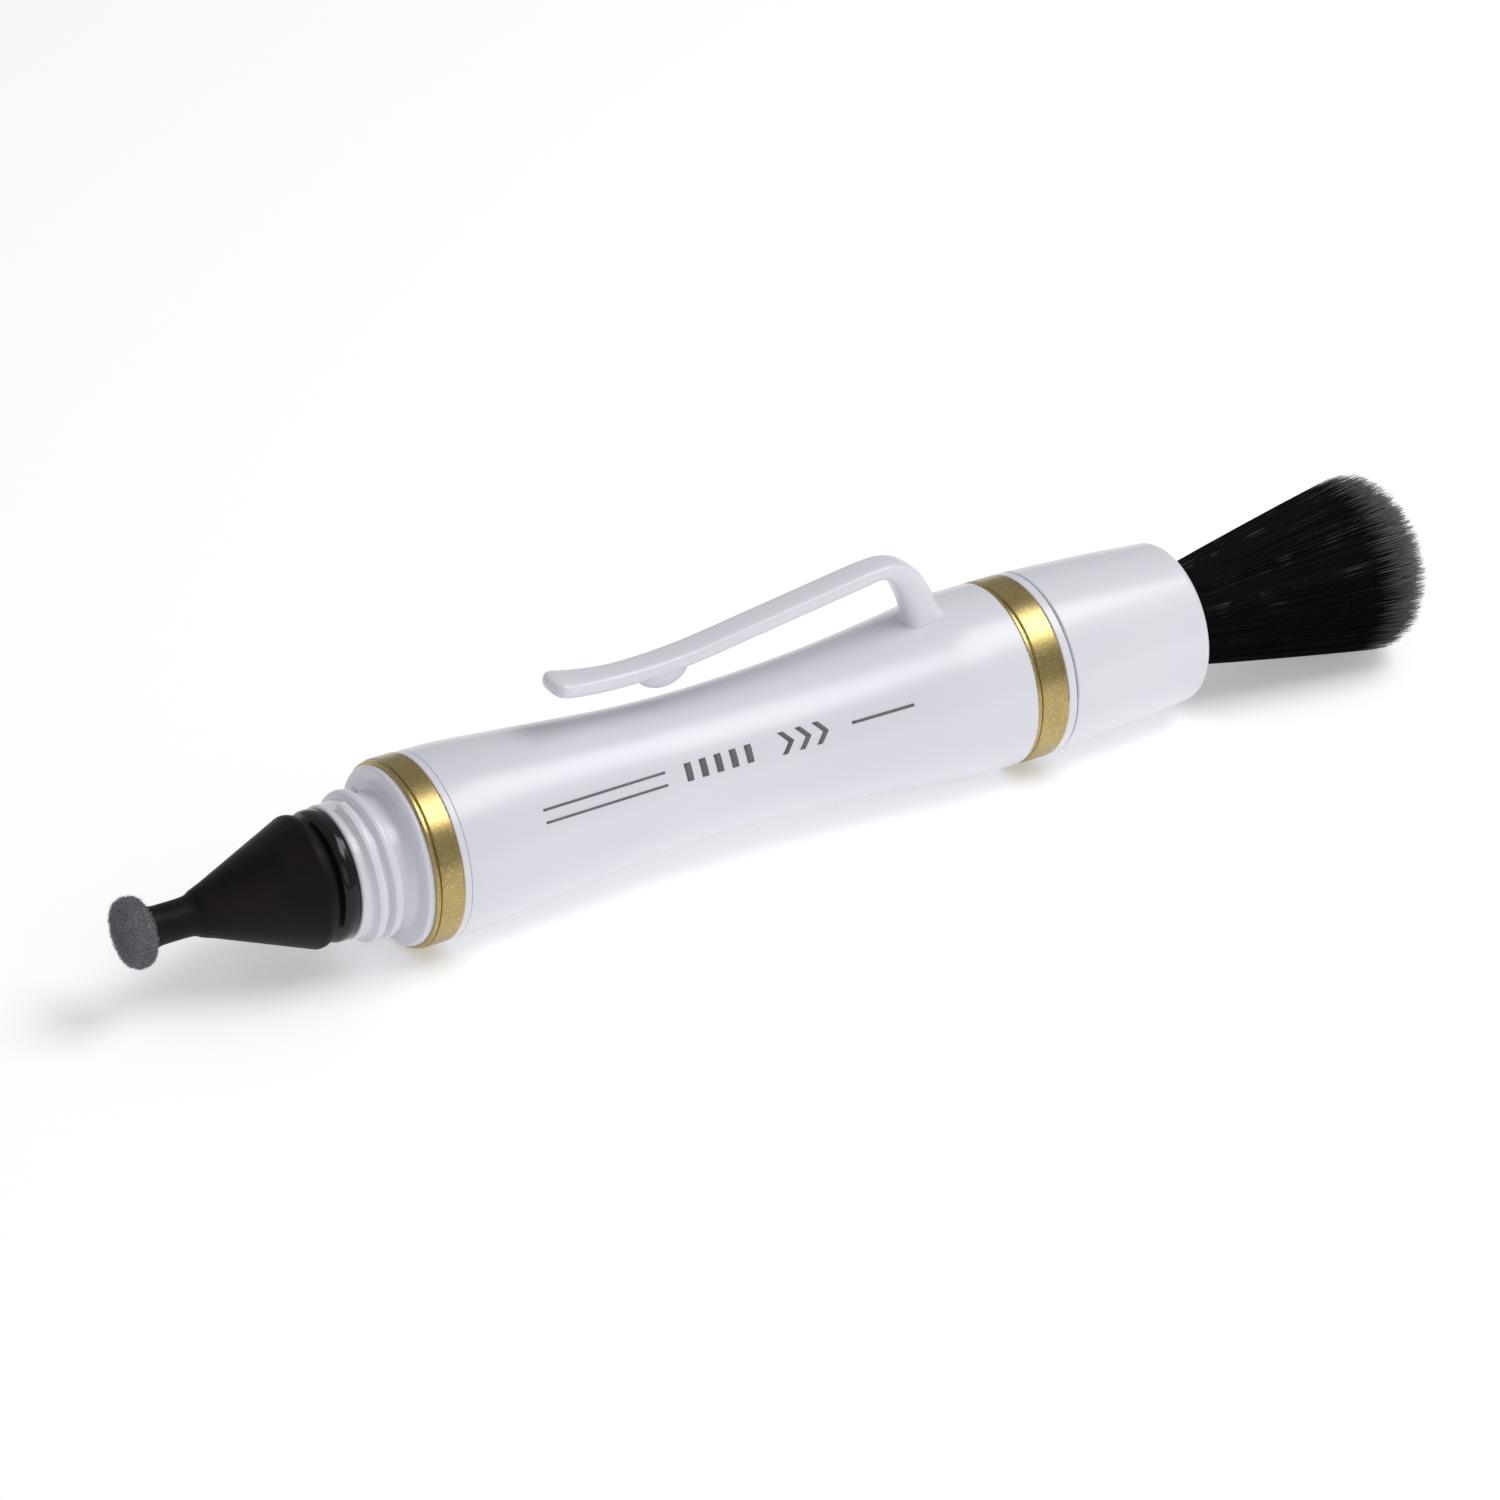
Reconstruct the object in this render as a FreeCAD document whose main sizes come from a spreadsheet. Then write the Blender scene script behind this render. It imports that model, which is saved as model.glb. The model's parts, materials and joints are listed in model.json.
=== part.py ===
import FreeCAD, Part
import math
import os
import Sketcher

# Lens cleaning pen with a flexing tip, a spring clip and a sliding brush sleeve.
# The pen lies along X, the cleaning tip towards -X, the brush towards +X and the clip on +Z.
# The origin is on the pen's axis, in the shoulder face that the screw cap closes on.

doc = FreeCAD.newDocument("LensCleaningPen")
sheet = doc.addObject("Spreadsheet::Sheet", "Sizes")


class Size:
    """A length that keeps its value together with the expression that binds it to the sheet."""

    def __init__(self, number, text):
        self.number = float(number)
        self.text = text

    def __add__(self, other):
        other = as_size(other)
        return Size(self.number + other.number, f"({self.text} + {other.text})")

    def __sub__(self, other):
        other = as_size(other)
        return Size(self.number - other.number, f"({self.text} - {other.text})")

    def __mul__(self, other):
        other = as_size(other)
        return Size(self.number * other.number, f"({self.text} * {other.text})")

    def __truediv__(self, other):
        other = as_size(other)
        return Size(self.number / other.number, f"({self.text} / {other.text})")

    def __neg__(self):
        return Size(-self.number, f"(0 - {self.text})")

    __radd__ = __add__
    __rmul__ = __mul__

    def __rsub__(self, other):
        return as_size(other) - self


def as_size(value):
    if isinstance(value, Size):
        return value
    return Size(value, repr(float(value)))


def root(value):
    return Size(math.sqrt(value.number), f"sqrt({value.text})")


def sine(angle):
    return Size(math.sin(math.radians(angle.number)), f"sin({angle.text})")


def cosine(angle):
    return Size(math.cos(math.radians(angle.number)), f"cos({angle.text})")


def size(name, value):
    """Write one driving dimension into the sheet and return it."""
    size.row += 1
    sheet.set(f"A{size.row}", name)
    sheet.set(f"B{size.row}", str(value))
    sheet.setAlias(f"B{size.row}", name)
    return Size(value, f"Sizes.{name}")


size.row = 0

# ---- driving dimensions, millimetres and degrees ------------------------------------------

glue_gap = size("glue_gap", 0.02)
running_gap = size("running_gap", 0.05)
visible_gap = size("visible_gap", 0.08)

nose_length = size("nose_length", 3.95)
nose_radius = size("nose_radius", 4.5)
nose_wall = size("nose_wall", 1.2)
nose_edge = size("nose_edge", 0.15)
thread_height = size("thread_height", 0.57)
thread_pitch = size("thread_pitch", 1.15)
thread_turns = size("thread_turns", 1.9)
thread_width = size("thread_width", 0.9)
thread_start = size("thread_start", 0.5)
shoulder_fillet = size("shoulder_fillet", 0.45)
collar_step = size("collar_step", 0.31)
collar_length = size("collar_length", 0.43)
collar_edge = size("collar_edge", 0.25)
spigot_wall = size("spigot_wall", 1.41)
spigot_length = size("spigot_length", 7.0)

band_radius = size("band_radius", 6.36)
band_wall = size("band_wall", 0.44)
front_band_length = size("front_band_length", 2.02)
rear_band_length = size("rear_band_length", 2.4)
lip_width = size("lip_width", 0.27)
lip_drop = size("lip_drop", 0.08)
line_width = size("line_width", 0.08)
line_depth = size("line_depth", 0.08)
band_edge = size("band_edge", 0.1)

barrel_length = size("barrel_length", 43.8)
barrel_step = size("barrel_step", 0.05)
waist_wall = size("waist_wall", 0.6)
waist_place = size("waist_place", 21.2)
front_crown_run = size("front_crown_run", 2.8)
taper_run = size("taper_run", 9.17)
waist_front_run = size("waist_front_run", 7.93)
waist_rear_run = size("waist_rear_run", 17.39)
rear_crown_run = size("rear_crown_run", 2.78)
rim_length = size("rim_length", 0.5)
web_start = size("web_start", 9.6)
web_bore = size("web_bore", 3.0)
chamber_start = size("chamber_start", 21.2)
chamber_clearance = size("chamber_clearance", 0.35)

bush_wall = size("bush_wall", 1.16)
bush_depth = size("bush_depth", 0.95)
bush_rim = size("bush_rim", 0.7)
rim_step = size("rim_step", 0.03)
ring_wire = size("ring_wire", 0.3)
ring_groove_width = size("ring_groove_width", 0.7)
key_width = size("key_width", 0.8)
key_length = size("key_length", 1.5)
key_height = size("key_height", 0.3)

tube_radius = size("tube_radius", 4.0)
tube_wall = size("tube_wall", 0.5)
tube_grip = size("tube_grip", 3.1)
stop_width = size("stop_width", 0.8)
stop_depth = size("stop_depth", 0.2)
stop_end = size("stop_end", 0.4)
sleeve_travel = size("sleeve_travel", 19.6)

sleeve_length = size("sleeve_length", 11.32)
sleeve_taper = size("sleeve_taper", 0.73)
sleeve_curve = size("sleeve_curve", 170.0)
sleeve_edge = size("sleeve_edge", 0.6)
sleeve_wall = size("sleeve_wall", 1.18)
mouth_wall = size("mouth_wall", 1.0)

rod_radius = size("rod_radius", 1.5)
anchor_flange = size("anchor_flange", 0.5)
anchor_length = size("anchor_length", 9.0)
ferrule_clearance = size("ferrule_clearance", 0.3)
ferrule_wall = size("ferrule_wall", 0.25)
ferrule_length = size("ferrule_length", 9.0)
ferrule_base = size("ferrule_base", 2.5)
ferrule_setback = size("ferrule_setback", 2.25)
potting_length = size("potting_length", 2.4)
brush_reach = size("brush_reach", 19.6)
brush_radius = size("brush_radius", 6.1)
brush_dome = size("brush_dome", 4.2)
brush_neck_flare = size("brush_neck_flare", 0.22)

ring_length = size("ring_length", 1.2)
ring_step = size("ring_step", 0.08)
ring_edge = size("ring_edge", 0.15)
groove_depth = size("groove_depth", 0.42)
groove_width = size("groove_width", 0.18)
stud_radius = size("stud_radius", 2.0)
stud_length = size("stud_length", 3.9)
plug_length = size("plug_length", 5.5)
plug_bore = size("plug_bore", 1.55)
plug_floor = size("plug_floor", 1.0)
cone_length = size("cone_length", 8.5)
cone_proud = size("cone_proud", 0.03)
cone_lip = size("cone_lip", 0.15)
cone_edge = size("cone_edge", 0.95)

neck_radius = size("neck_radius", 1.3)
neck_length = size("neck_length", 2.2)
neck_setting = size("neck_setting", 0.45)
socket_wall = size("socket_wall", 0.45)
head_setting = size("head_setting", 0.3)
flare_length = size("flare_length", 0.95)
plate_flare = size("plate_flare", 0.65)
plate_length = size("plate_length", 0.3)
pad_skirt = size("pad_skirt", 0.23)
pad_length = size("pad_length", 1.2)
pad_edge = size("pad_edge", 0.45)
pad_dish = size("pad_dish", 0.12)
cushion_inset = size("cushion_inset", 0.25)
cushion_length = size("cushion_length", 0.45)
pad_overlap = size("pad_overlap", 0.1)

clip_width = size("clip_width", 2.2)
clip_thickness = size("clip_thickness", 1.1)
clip_corner = size("clip_corner", 0.4)
hinge_setback = size("hinge_setback", 10.05)
hinge_stand = size("hinge_stand", 4.22)
clip_slope = size("clip_slope", 8.6)
clip_reach = size("clip_reach", 23.45)
low_setback = size("low_setback", 17.8)
clip_curve = size("clip_curve", 40.0)
clip_end_curve = size("clip_end_curve", 24.0)
bump_depth = size("bump_depth", 1.7)
bump_length = size("bump_length", 4.0)
bump_width = size("bump_width", 2.0)
bump_setback = size("bump_setback", 15.45)
bump_drop = size("bump_drop", 0.13)
lip_reach = size("lip_reach", 0.45)
crest_run = size("crest_run", 2.5)
crest_rise = size("crest_rise", 0.4)
crest_curve = size("crest_curve", 7.0)
bend_run = size("bend_run", 2.3)
bend_fall = size("bend_fall", 2.03)
bend_curve = size("bend_curve", 2.6)
leg_run = size("leg_run", 0.8)
leg_fall = size("leg_fall", 1.65)
leg_inner_run = size("leg_inner_run", 2.0)
leg_inner_fall = size("leg_inner_fall", 1.33)
leg_inner_curve = size("leg_inner_curve", 1.9)
saddle_front = size("saddle_front", 3.1)
saddle_back = size("saddle_back", 6.6)
saddle_curve = size("saddle_curve", 1.5)
saddle_inner_curve = size("saddle_inner_curve", 1.2)
tenon_place = size("tenon_place", 4.6)
tenon_length = size("tenon_length", 1.5)
tenon_width = size("tenon_width", 1.2)
tenon_depth = size("tenon_depth", 0.9)
tenon_rise = size("tenon_rise", 0.6)

# shares of a neighbouring size: how far a round, an undercut or an overlap reaches
thread_flank_share = size("thread_flank_share", 0.2)
thread_round_share = size("thread_round_share", 0.6)
thread_crest_drop = size("thread_crest_drop", 0.1)
leg_root_share = size("leg_root_share", 1.3)
key_rise_share = size("key_rise_share", 1.5)
slot_depth_share = size("slot_depth_share", 1.5)
slot_end_share = size("slot_end_share", 4)
flare_curve_share = size("flare_curve_share", 1.4)

doc.recompute()

# ---- radii that follow from what fits on or in what ---------------------------------------

band_seat = band_radius - band_wall
collar_radius = band_radius - collar_step
barrel_front_radius = band_radius - barrel_step
barrel_rear_radius = band_radius
bush_rim_radius = band_radius - rim_step
sleeve_front_radius = bush_rim_radius
spigot_radius = barrel_front_radius - spigot_wall
bush_spigot = barrel_rear_radius - bush_wall
sleeve_end_radius = sleeve_front_radius - sleeve_taper
sleeve_cavity = sleeve_front_radius - sleeve_wall
sleeve_mouth = sleeve_end_radius - mouth_wall
chamber_radius = tube_radius + chamber_clearance
waist_radius = chamber_radius + waist_wall
ferrule_radius = tube_radius - tube_wall - ferrule_clearance
brush_neck_radius = ferrule_radius - ferrule_wall + brush_neck_flare
nose_bore = nose_radius - nose_wall
thread_crest = nose_radius + thread_height
ring_radius = nose_radius - ring_step
groove_radius = ring_radius - groove_depth
cone_base_radius = ring_radius + cone_proud
cone_tip_radius = neck_radius + cone_lip
head_ball = neck_radius - socket_wall
plate_radius = neck_radius + plate_flare
pad_radius = plate_radius + pad_skirt
cushion_radius = plate_radius - cushion_inset

# ---- places along the axis ------------------------------------------------------------------

nose_front = -nose_length
front_band_start = collar_length
barrel_start = front_band_start + front_band_length
barrel_end = barrel_start + barrel_length
rim_start = barrel_end + rear_band_length
rim_end = rim_start + bush_rim
sleeve_start = rim_end + visible_gap
sleeve_end = sleeve_start + sleeve_length
bush_front = barrel_end - bush_depth
stop_back = bush_front - sleeve_travel
tube_front = stop_back - stop_width - stop_end
tube_back = sleeve_start + tube_grip
web_front = barrel_start + web_start
chamber_front = barrel_start + chamber_start
waist = barrel_start + waist_place
hinge_place = barrel_end - hinge_setback
hinge_height = barrel_rear_radius + hinge_stand
clip_low = hinge_place - low_setback
bump_place = hinge_place - bump_setback
ferrule_end = sleeve_end - ferrule_setback
ferrule_start = ferrule_end - ferrule_length
potting_start = ferrule_start + ferrule_base
ring_front = nose_front - ring_length
cone_base = ring_front - groove_width
cone_tip = cone_base - cone_length
neck_pivot = cone_tip - neck_setting
neck_front = neck_pivot - neck_length + head_setting
head_pivot = neck_pivot - neck_length
plate_start = head_pivot - flare_length
plate_end = plate_start - plate_length
pad_back = plate_end + pad_overlap
pad_front = pad_back - pad_length

# The barrel's outline: a land, a crown, a straight taper, the waist's two curves and a rear crown.
# Each curve starts level and falls by its run times the half slope, so neighbours meet in one line.
taper_end = waist - waist_front_run
taper_start = taper_end - taper_run
land_end = taper_start - front_crown_run
front_half_slope = (barrel_front_radius - waist_radius) / (front_crown_run + waist_front_run + taper_run * 2)
taper_start_radius = barrel_front_radius - front_crown_run * front_half_slope
taper_end_radius = waist_radius + waist_front_run * front_half_slope
front_bend = (1 + front_half_slope * front_half_slope) / (front_half_slope * 2)
swell = waist + waist_rear_run
rear_land = swell + rear_crown_run
rear_half_slope = (barrel_rear_radius - waist_radius) / (waist_rear_run + rear_crown_run)
swell_radius = waist_radius + waist_rear_run * rear_half_slope
rear_bend = (1 + rear_half_slope * rear_half_slope) / (rear_half_slope * 2)


# ---- tools --------------------------------------------------------------------------------

def arc_between(start, end, radius):
    """The short arc from start to end. A positive radius turns left, a negative one right."""
    chord = end.sub(start)
    half = chord.Length / 2
    rise = math.sqrt(max(radius * radius - half * half, 0.0))
    left = FreeCAD.Vector(-chord.y, chord.x, 0).normalize()
    middle = start.add(end).multiply(0.5)
    centre = middle.add(left * math.copysign(rise, radius))
    first, last = (start, end) if radius > 0 else (end, start)
    angles = [math.atan2(p.y - centre.y, p.x - centre.x) for p in (first, last)]
    circle = Part.Circle(centre, FreeCAD.Vector(0, 0, 1), abs(radius))
    return Part.ArcOfCircle(circle, angles[0], angles[1])


def pin_point(sketch, index, corner, x, y):
    """Fix one end of a sketch element at (x, y), bound to the sheet."""
    for kind, axis, value in (("DistanceX", -2, x), ("DistanceY", -1, y)):
        value = as_size(value)
        if value.number == 0:
            sketch.addConstraint(Sketcher.Constraint("PointOnObject", index, corner, axis))
            continue
        place = sketch.addConstraint(Sketcher.Constraint(kind, -1, 1, index, corner, value.number))
        sketch.setExpression(f"Constraints[{place}]", value.text)


def outline(body, name, points, plane="XZ_Plane"):
    """A closed sketch. Each point is (x, y) or (x, y, radius), the radius bending the next side."""
    sketch = body.newObject("Sketcher::SketchObject", name)
    base = [item for item in body.Origin.OriginFeatures if item.Role == plane][0]
    sketch.AttachmentSupport = [(base, "")]
    sketch.MapMode = "FlatFace"
    corners = [FreeCAD.Vector(as_size(p[0]).number, as_size(p[1]).number, 0) for p in points]
    ends = []
    for number, point in enumerate(points):
        start, end = corners[number], corners[(number + 1) % len(corners)]
        if len(point) == 2:
            index = sketch.addGeometry(Part.LineSegment(start, end))
            ends.append((index, 1, 2))
            continue
        radius = as_size(point[2])
        index = sketch.addGeometry(arc_between(start, end, radius.number))
        ends.append((index, 1, 2) if radius.number > 0 else (index, 2, 1))
        size_text = radius.text if radius.number > 0 else f"(0 - {radius.text})"
        bend = sketch.addConstraint(Sketcher.Constraint("Radius", index, abs(radius.number)))
        sketch.setExpression(f"Constraints[{bend}]", size_text)
    for number, (index, first, last) in enumerate(ends):
        following = ends[(number + 1) % len(ends)]
        sketch.addConstraint(Sketcher.Constraint("Coincident", index, last, following[0], following[1]))
        pin_point(sketch, index, first, points[number][0], points[number][1])
    return sketch


def turned(label, points, angle=360.0):
    """A body turned about the pen's axis from its (place, radius) outline."""
    body = doc.addObject("PartDesign::Body", label)
    sketch = outline(body, label + "_outline", points)
    turn = body.newObject("PartDesign::Revolution", label + "_turn")
    turn.Profile = sketch
    turn.ReferenceAxis = (sketch, ["H_Axis"])
    turn.Angle = angle
    sketch.Visibility = False
    return body


def bind(thing, **expressions):
    """Bind properties of a primitive to the sheet, such as Length or Placement.Base.x."""
    for name, value in expressions.items():
        path = name.replace("place_", ".Placement.Base.") if name.startswith("place_") else name
        thing.setExpression(path, as_size(value).text)
    return thing


def block(name, x, y, z, length, width, height):
    box = doc.addObject("Part::Box", name)
    return bind(box, Length=length, Width=width, Height=height, place_x=x, place_y=y, place_z=z)


def combined(kind, label, base, tool):
    """A Part::Cut or Part::Fuse of two objects."""
    result = doc.addObject(kind, label)
    result.Base = base
    result.Tool = tool
    return result


# ---- front: threaded nose and band ---------------------------------------------------------

def make_nose():
    """White nose: cap thread, shoulder collar, band seat and the spigot glued into the barrel."""
    body = turned("threaded_nose", [
        (nose_front, nose_bore),
        (nose_front, nose_radius - nose_edge, -nose_edge),
        (nose_front + nose_edge, nose_radius),
        (-shoulder_fillet, nose_radius, shoulder_fillet),
        (0, nose_radius + shoulder_fillet),
        (0, collar_radius - collar_edge, -collar_edge),
        (collar_edge, collar_radius),
        (collar_length, collar_radius),
        (collar_length, band_seat - glue_gap),
        (barrel_start - glue_gap, band_seat - glue_gap),
        (barrel_start - glue_gap, spigot_radius - glue_gap),
        (barrel_start + spigot_length, spigot_radius - glue_gap),
        (barrel_start + spigot_length, nose_bore),
    ])
    ridge_start = nose_front + thread_start
    ridge_end = ridge_start + thread_width
    ridge_foot = nose_radius - nose_edge
    rounding = thread_width * thread_round_share
    flank = thread_width * thread_flank_share
    ridge = outline(body, "thread_ridge", [
        (ridge_start, ridge_foot),
        (ridge_start, nose_radius),
        (ridge_start + flank, thread_crest - thread_crest_drop, -rounding),
        (ridge_end - flank, thread_crest - thread_crest_drop),
        (ridge_end, nose_radius),
        (ridge_end, ridge_foot),
    ])
    thread = body.newObject("PartDesign::AdditiveHelix", "cap_thread")
    thread.Profile = ridge
    thread.ReferenceAxis = (ridge, ["H_Axis"])
    thread.Mode = "pitch-turns-angle"
    bind(thread, Pitch=thread_pitch, Turns=thread_turns)
    thread.Reversed = False
    ridge.Visibility = False
    return body


def make_band(label, start, length):
    """A plated ring with a fine lip and a dark line along its front edge."""
    end = start + length
    lip_end = start + lip_width
    crown = lip_end + line_width
    bore = band_seat
    return turned(label, [
        (start, bore),
        (start, band_radius - lip_drop - band_edge, -band_edge),
        (start + band_edge, band_radius - lip_drop),
        (lip_end, band_radius - lip_drop),
        (lip_end + line_width / 2, band_radius - lip_drop - line_depth),
        (crown, band_radius - band_edge, -band_edge),
        (crown + band_edge, band_radius),
        (end - band_edge, band_radius, -band_edge),
        (end, band_radius - band_edge),
        (end, bore),
    ])


# ---- barrel --------------------------------------------------------------------------------

def barrel_outside():
    """The waisted outline from the front rim to the rear land."""
    rim_back = barrel_start + rim_length
    return [
        (barrel_start, barrel_front_radius - band_edge, -band_edge),
        (barrel_start + band_edge, barrel_front_radius),
        (rim_back, barrel_front_radius),
        (rim_back + line_width / 2, barrel_front_radius - line_depth),
        (rim_back + line_width, barrel_front_radius),
        (land_end, barrel_front_radius, -(front_crown_run * front_bend)),
        (taper_start, taper_start_radius),
        (taper_end, taper_end_radius, waist_front_run * front_bend),
        (waist, waist_radius, waist_rear_run * rear_bend),
        (swell, swell_radius, -(rear_crown_run * rear_bend)),
        (rear_land, barrel_rear_radius),
        (barrel_end - band_edge, barrel_rear_radius, -band_edge),
        (barrel_end, barrel_rear_radius - band_edge),
    ]


def make_barrel(pocket):
    """The waisted white shell with its web, sleeve chamber and the pocket for the clip's tenon."""
    shell = turned("barrel_shell", barrel_outside() + [
        (barrel_end, bush_spigot),
        (bush_front, bush_spigot),
        (bush_front, chamber_radius),
        (chamber_front, chamber_radius),
        (chamber_front, web_bore),
        (web_front, web_bore),
        (web_front, spigot_radius),
        (barrel_start, spigot_radius),
    ])
    return combined("Part::Cut", "barrel", shell, pocket)


def tenon_block(name, gap):
    """The tenon that holds the clip, and the pocket it sits in, which is larger by the gap."""
    start = hinge_place + tenon_place - tenon_length / 2 - gap
    bottom = swell_radius - tenon_depth - gap
    top = swell_radius + tenon_rise
    return block(name, start, -(tenon_width / 2) - gap, bottom,
                 tenon_length + gap * 2, tenon_width + gap * 2, top - bottom)


# ---- clip ----------------------------------------------------------------------------------

def beside_hinge(along, across):
    """A place measured along the clip's straight run from its hinge, and across it."""
    return (hinge_place + along * cosine(clip_slope) - across * sine(clip_slope),
            hinge_height + along * sine(clip_slope) + across * cosine(clip_slope))


def side_pad(body, sketch, name):
    """Pad a side outline to the clip's width, half to each side of the XZ plane."""
    pad = body.newObject("PartDesign::Pad", name)
    pad.Profile = sketch
    pad.Midplane = True
    pad.setExpression("Length", clip_width.text)
    sketch.Visibility = False
    doc.recompute()
    return pad


def round_sides(body, pad):
    """Round every long edge on the pad's two sides."""
    side = clip_width.number / 2
    rims = []
    for number, edge in enumerate(pad.Shape.Edges, 1):
        ends = [vertex.Point.y for vertex in edge.Vertexes]
        if all(abs(abs(y) - side) < 1e-6 for y in ends) and ends[0] * ends[-1] > 0:
            rims.append(f"Edge{number}")
    rounding = body.newObject("PartDesign::Fillet", pad.Name + "_rounding")
    rounding.Base = (pad, rims)
    rounding.setExpression("Radius", clip_corner.text)


def make_clip_arm():
    """The arm: straight run, upswept end, bump below, and the round end that it flexes about."""
    half = clip_thickness / 2
    low_run = clip_curve * sine(clip_slope)
    low_rise = clip_curve * (1 - cosine(clip_slope))
    straight_end = clip_low + low_run
    straight_height = hinge_height - (hinge_place - straight_end) * sine(clip_slope) / cosine(clip_slope)
    valley = straight_height - low_rise
    tip_place = hinge_place - clip_reach
    tip_sine = (clip_low - tip_place) / clip_end_curve
    tip_cosine = root(1 - tip_sine * tip_sine)
    tip_height = valley + clip_end_curve * (1 - tip_cosine)
    across = half * sine(clip_slope)
    up = half * cosine(clip_slope)
    body = doc.addObject("PartDesign::Body", "clip_arm_blank")
    sketch = outline(body, "clip_arm_outline", [
        beside_hinge(0, half),
        (straight_end - across, straight_height + up, -(clip_curve - half)),
        (clip_low, valley + half, -(clip_end_curve - half)),
        (tip_place + half * tip_sine, tip_height + half * tip_cosine, half),
        (tip_place - half * tip_cosine, tip_height + half * tip_sine, half),
        (tip_place - half * tip_sine, tip_height - half * tip_cosine, clip_end_curve + half),
        (clip_low, valley - half, clip_curve + half),
        (straight_end + across, straight_height - up),
        beside_hinge(0, -half) + (half,),
        beside_hinge(half, 0) + (half,),
    ])
    round_sides(body, side_pad(body, sketch, "clip_arm_pad"))
    bump = doc.addObject("Part::Ellipsoid", "clip_bump")
    bump.Angle2 = 0
    bind(bump, Radius1=bump_depth, Radius2=bump_length / 2, Radius3=bump_width / 2,
         place_x=bump_place, place_z=valley - bump_drop)
    return combined("Part::Fuse", "clip_arm", body, bump)


def make_clip_post(form):
    """The post: the bend and the leg that stand on the barrel, with a tenon in its pocket."""
    half = clip_thickness / 2
    cup = half + running_gap
    cup_side = cup * math.sqrt(0.5)
    crest = (hinge_place + crest_run, hinge_height + crest_rise)
    knee = (crest[0] + bend_run, crest[1] - bend_fall)
    heel = (knee[0] + leg_run, knee[1] - leg_fall)
    throat = (hinge_place + leg_inner_run, hinge_height - leg_inner_fall)
    inside = throat[1] - leg_fall * leg_root_share
    floor = chamber_radius + tenon_depth
    body = doc.addObject("PartDesign::Body", "clip_post_blank")
    sketch = outline(body, "clip_post_outline", [
        beside_hinge(cup_side, cup_side),
        beside_hinge(lip_reach, half) + (-crest_curve,),
        crest + (-bend_curve,),
        knee,
        heel + (saddle_curve,),
        (hinge_place + saddle_back, barrel_rear_radius),
        (hinge_place + saddle_back, floor),
        (hinge_place + saddle_front, floor),
        (hinge_place + saddle_front, swell_radius, saddle_inner_curve),
        (throat[0] + leg_run * leg_root_share, inside),
        throat + (leg_inner_curve,),
        beside_hinge(lip_reach, -half),
        beside_hinge(cup_side, -cup_side) + (cup,),
    ])
    side_pad(body, sketch, "clip_post_pad")
    above = combined("Part::Cut", "clip_post_trimmed", body, form)
    return combined("Part::Fuse", "clip_post", above, tenon_block("clip_tenon", as_size(0)))


# ---- rear: bush, sliding sleeve and its stop --------------------------------------------------

def make_rear_bush():
    """Flanged bush glued into the barrel: it seats the band and guides and keys the sliding tube."""
    bore = tube_radius + running_gap
    groove = tube_radius + glue_gap * 2 + ring_wire * 2
    groove_front = barrel_end + rear_band_length / 2
    groove_back = groove_front + ring_groove_width
    body = turned("rear_bush_ring", [
        (bush_front + glue_gap, bore),
        (bush_front + glue_gap, bush_spigot - glue_gap),
        (barrel_end + glue_gap, bush_spigot - glue_gap),
        (barrel_end + glue_gap, band_seat - glue_gap),
        (rim_start, band_seat - glue_gap),
        (rim_start, bush_rim_radius - band_edge, -band_edge),
        (rim_start + band_edge, bush_rim_radius),
        (rim_end - band_edge, bush_rim_radius, -band_edge),
        (rim_end, bush_rim_radius - band_edge),
        (rim_end, bore),
        (groove_back, bore),
        (groove_back, groove),
        (groove_front, groove),
        (groove_front, bore),
    ])
    key = block("bush_key", bush_front + glue_gap * 2, -(key_width / 2), -(bore + key_height / 2),
                key_length, key_width, key_height * key_rise_share)
    return combined("Part::Fuse", "rear_bush", body, key)


def make_friction_ring():
    """Rubber ring in the bush's groove. It drags on the tube and holds the sleeve where it is left."""
    ring = doc.addObject("Part::Torus", "friction_ring")
    ring.Placement.Rotation = FreeCAD.Rotation(FreeCAD.Vector(0, 1, 0), 90)
    middle = barrel_end + rear_band_length / 2 + ring_groove_width / 2
    return bind(ring, Radius1=tube_radius + glue_gap + ring_wire, Radius2=ring_wire, place_x=middle)


def make_slide_tube():
    """Tube that carries the sleeve, with a groove for its stop ring and a slot for the bush's key."""
    inside = tube_radius - tube_wall
    groove_front = tube_front + stop_end
    body = turned("slide_tube_blank", [
        (tube_front, inside),
        (tube_front, tube_radius),
        (groove_front, tube_radius),
        (groove_front, tube_radius - stop_depth),
        (stop_back, tube_radius - stop_depth),
        (stop_back, tube_radius),
        (tube_back, tube_radius),
        (tube_back, inside),
    ])
    slot_start = stop_back - running_gap  # opens into the groove, so the key never meets its end
    slot_end = bush_front + key_length + running_gap * slot_end_share
    slot = block("key_slot", slot_start, -(key_width / 2) - running_gap, -(tube_radius * slot_depth_share),
                 slot_end - slot_start, key_width + running_gap * 2, tube_radius)
    return combined("Part::Cut", "slide_tube", body, slot)


def make_stop_ring():
    """Split ring in the tube's groove. It meets the bush when the sleeve is fully out."""
    inside = tube_radius - stop_depth + glue_gap
    outside = chamber_radius - running_gap
    front = tube_front + stop_end + glue_gap
    back = stop_back - glue_gap
    return turned("stop_ring", [(front, inside), (front, outside), (back, outside), (back, inside)],
                  angle=335)


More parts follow.
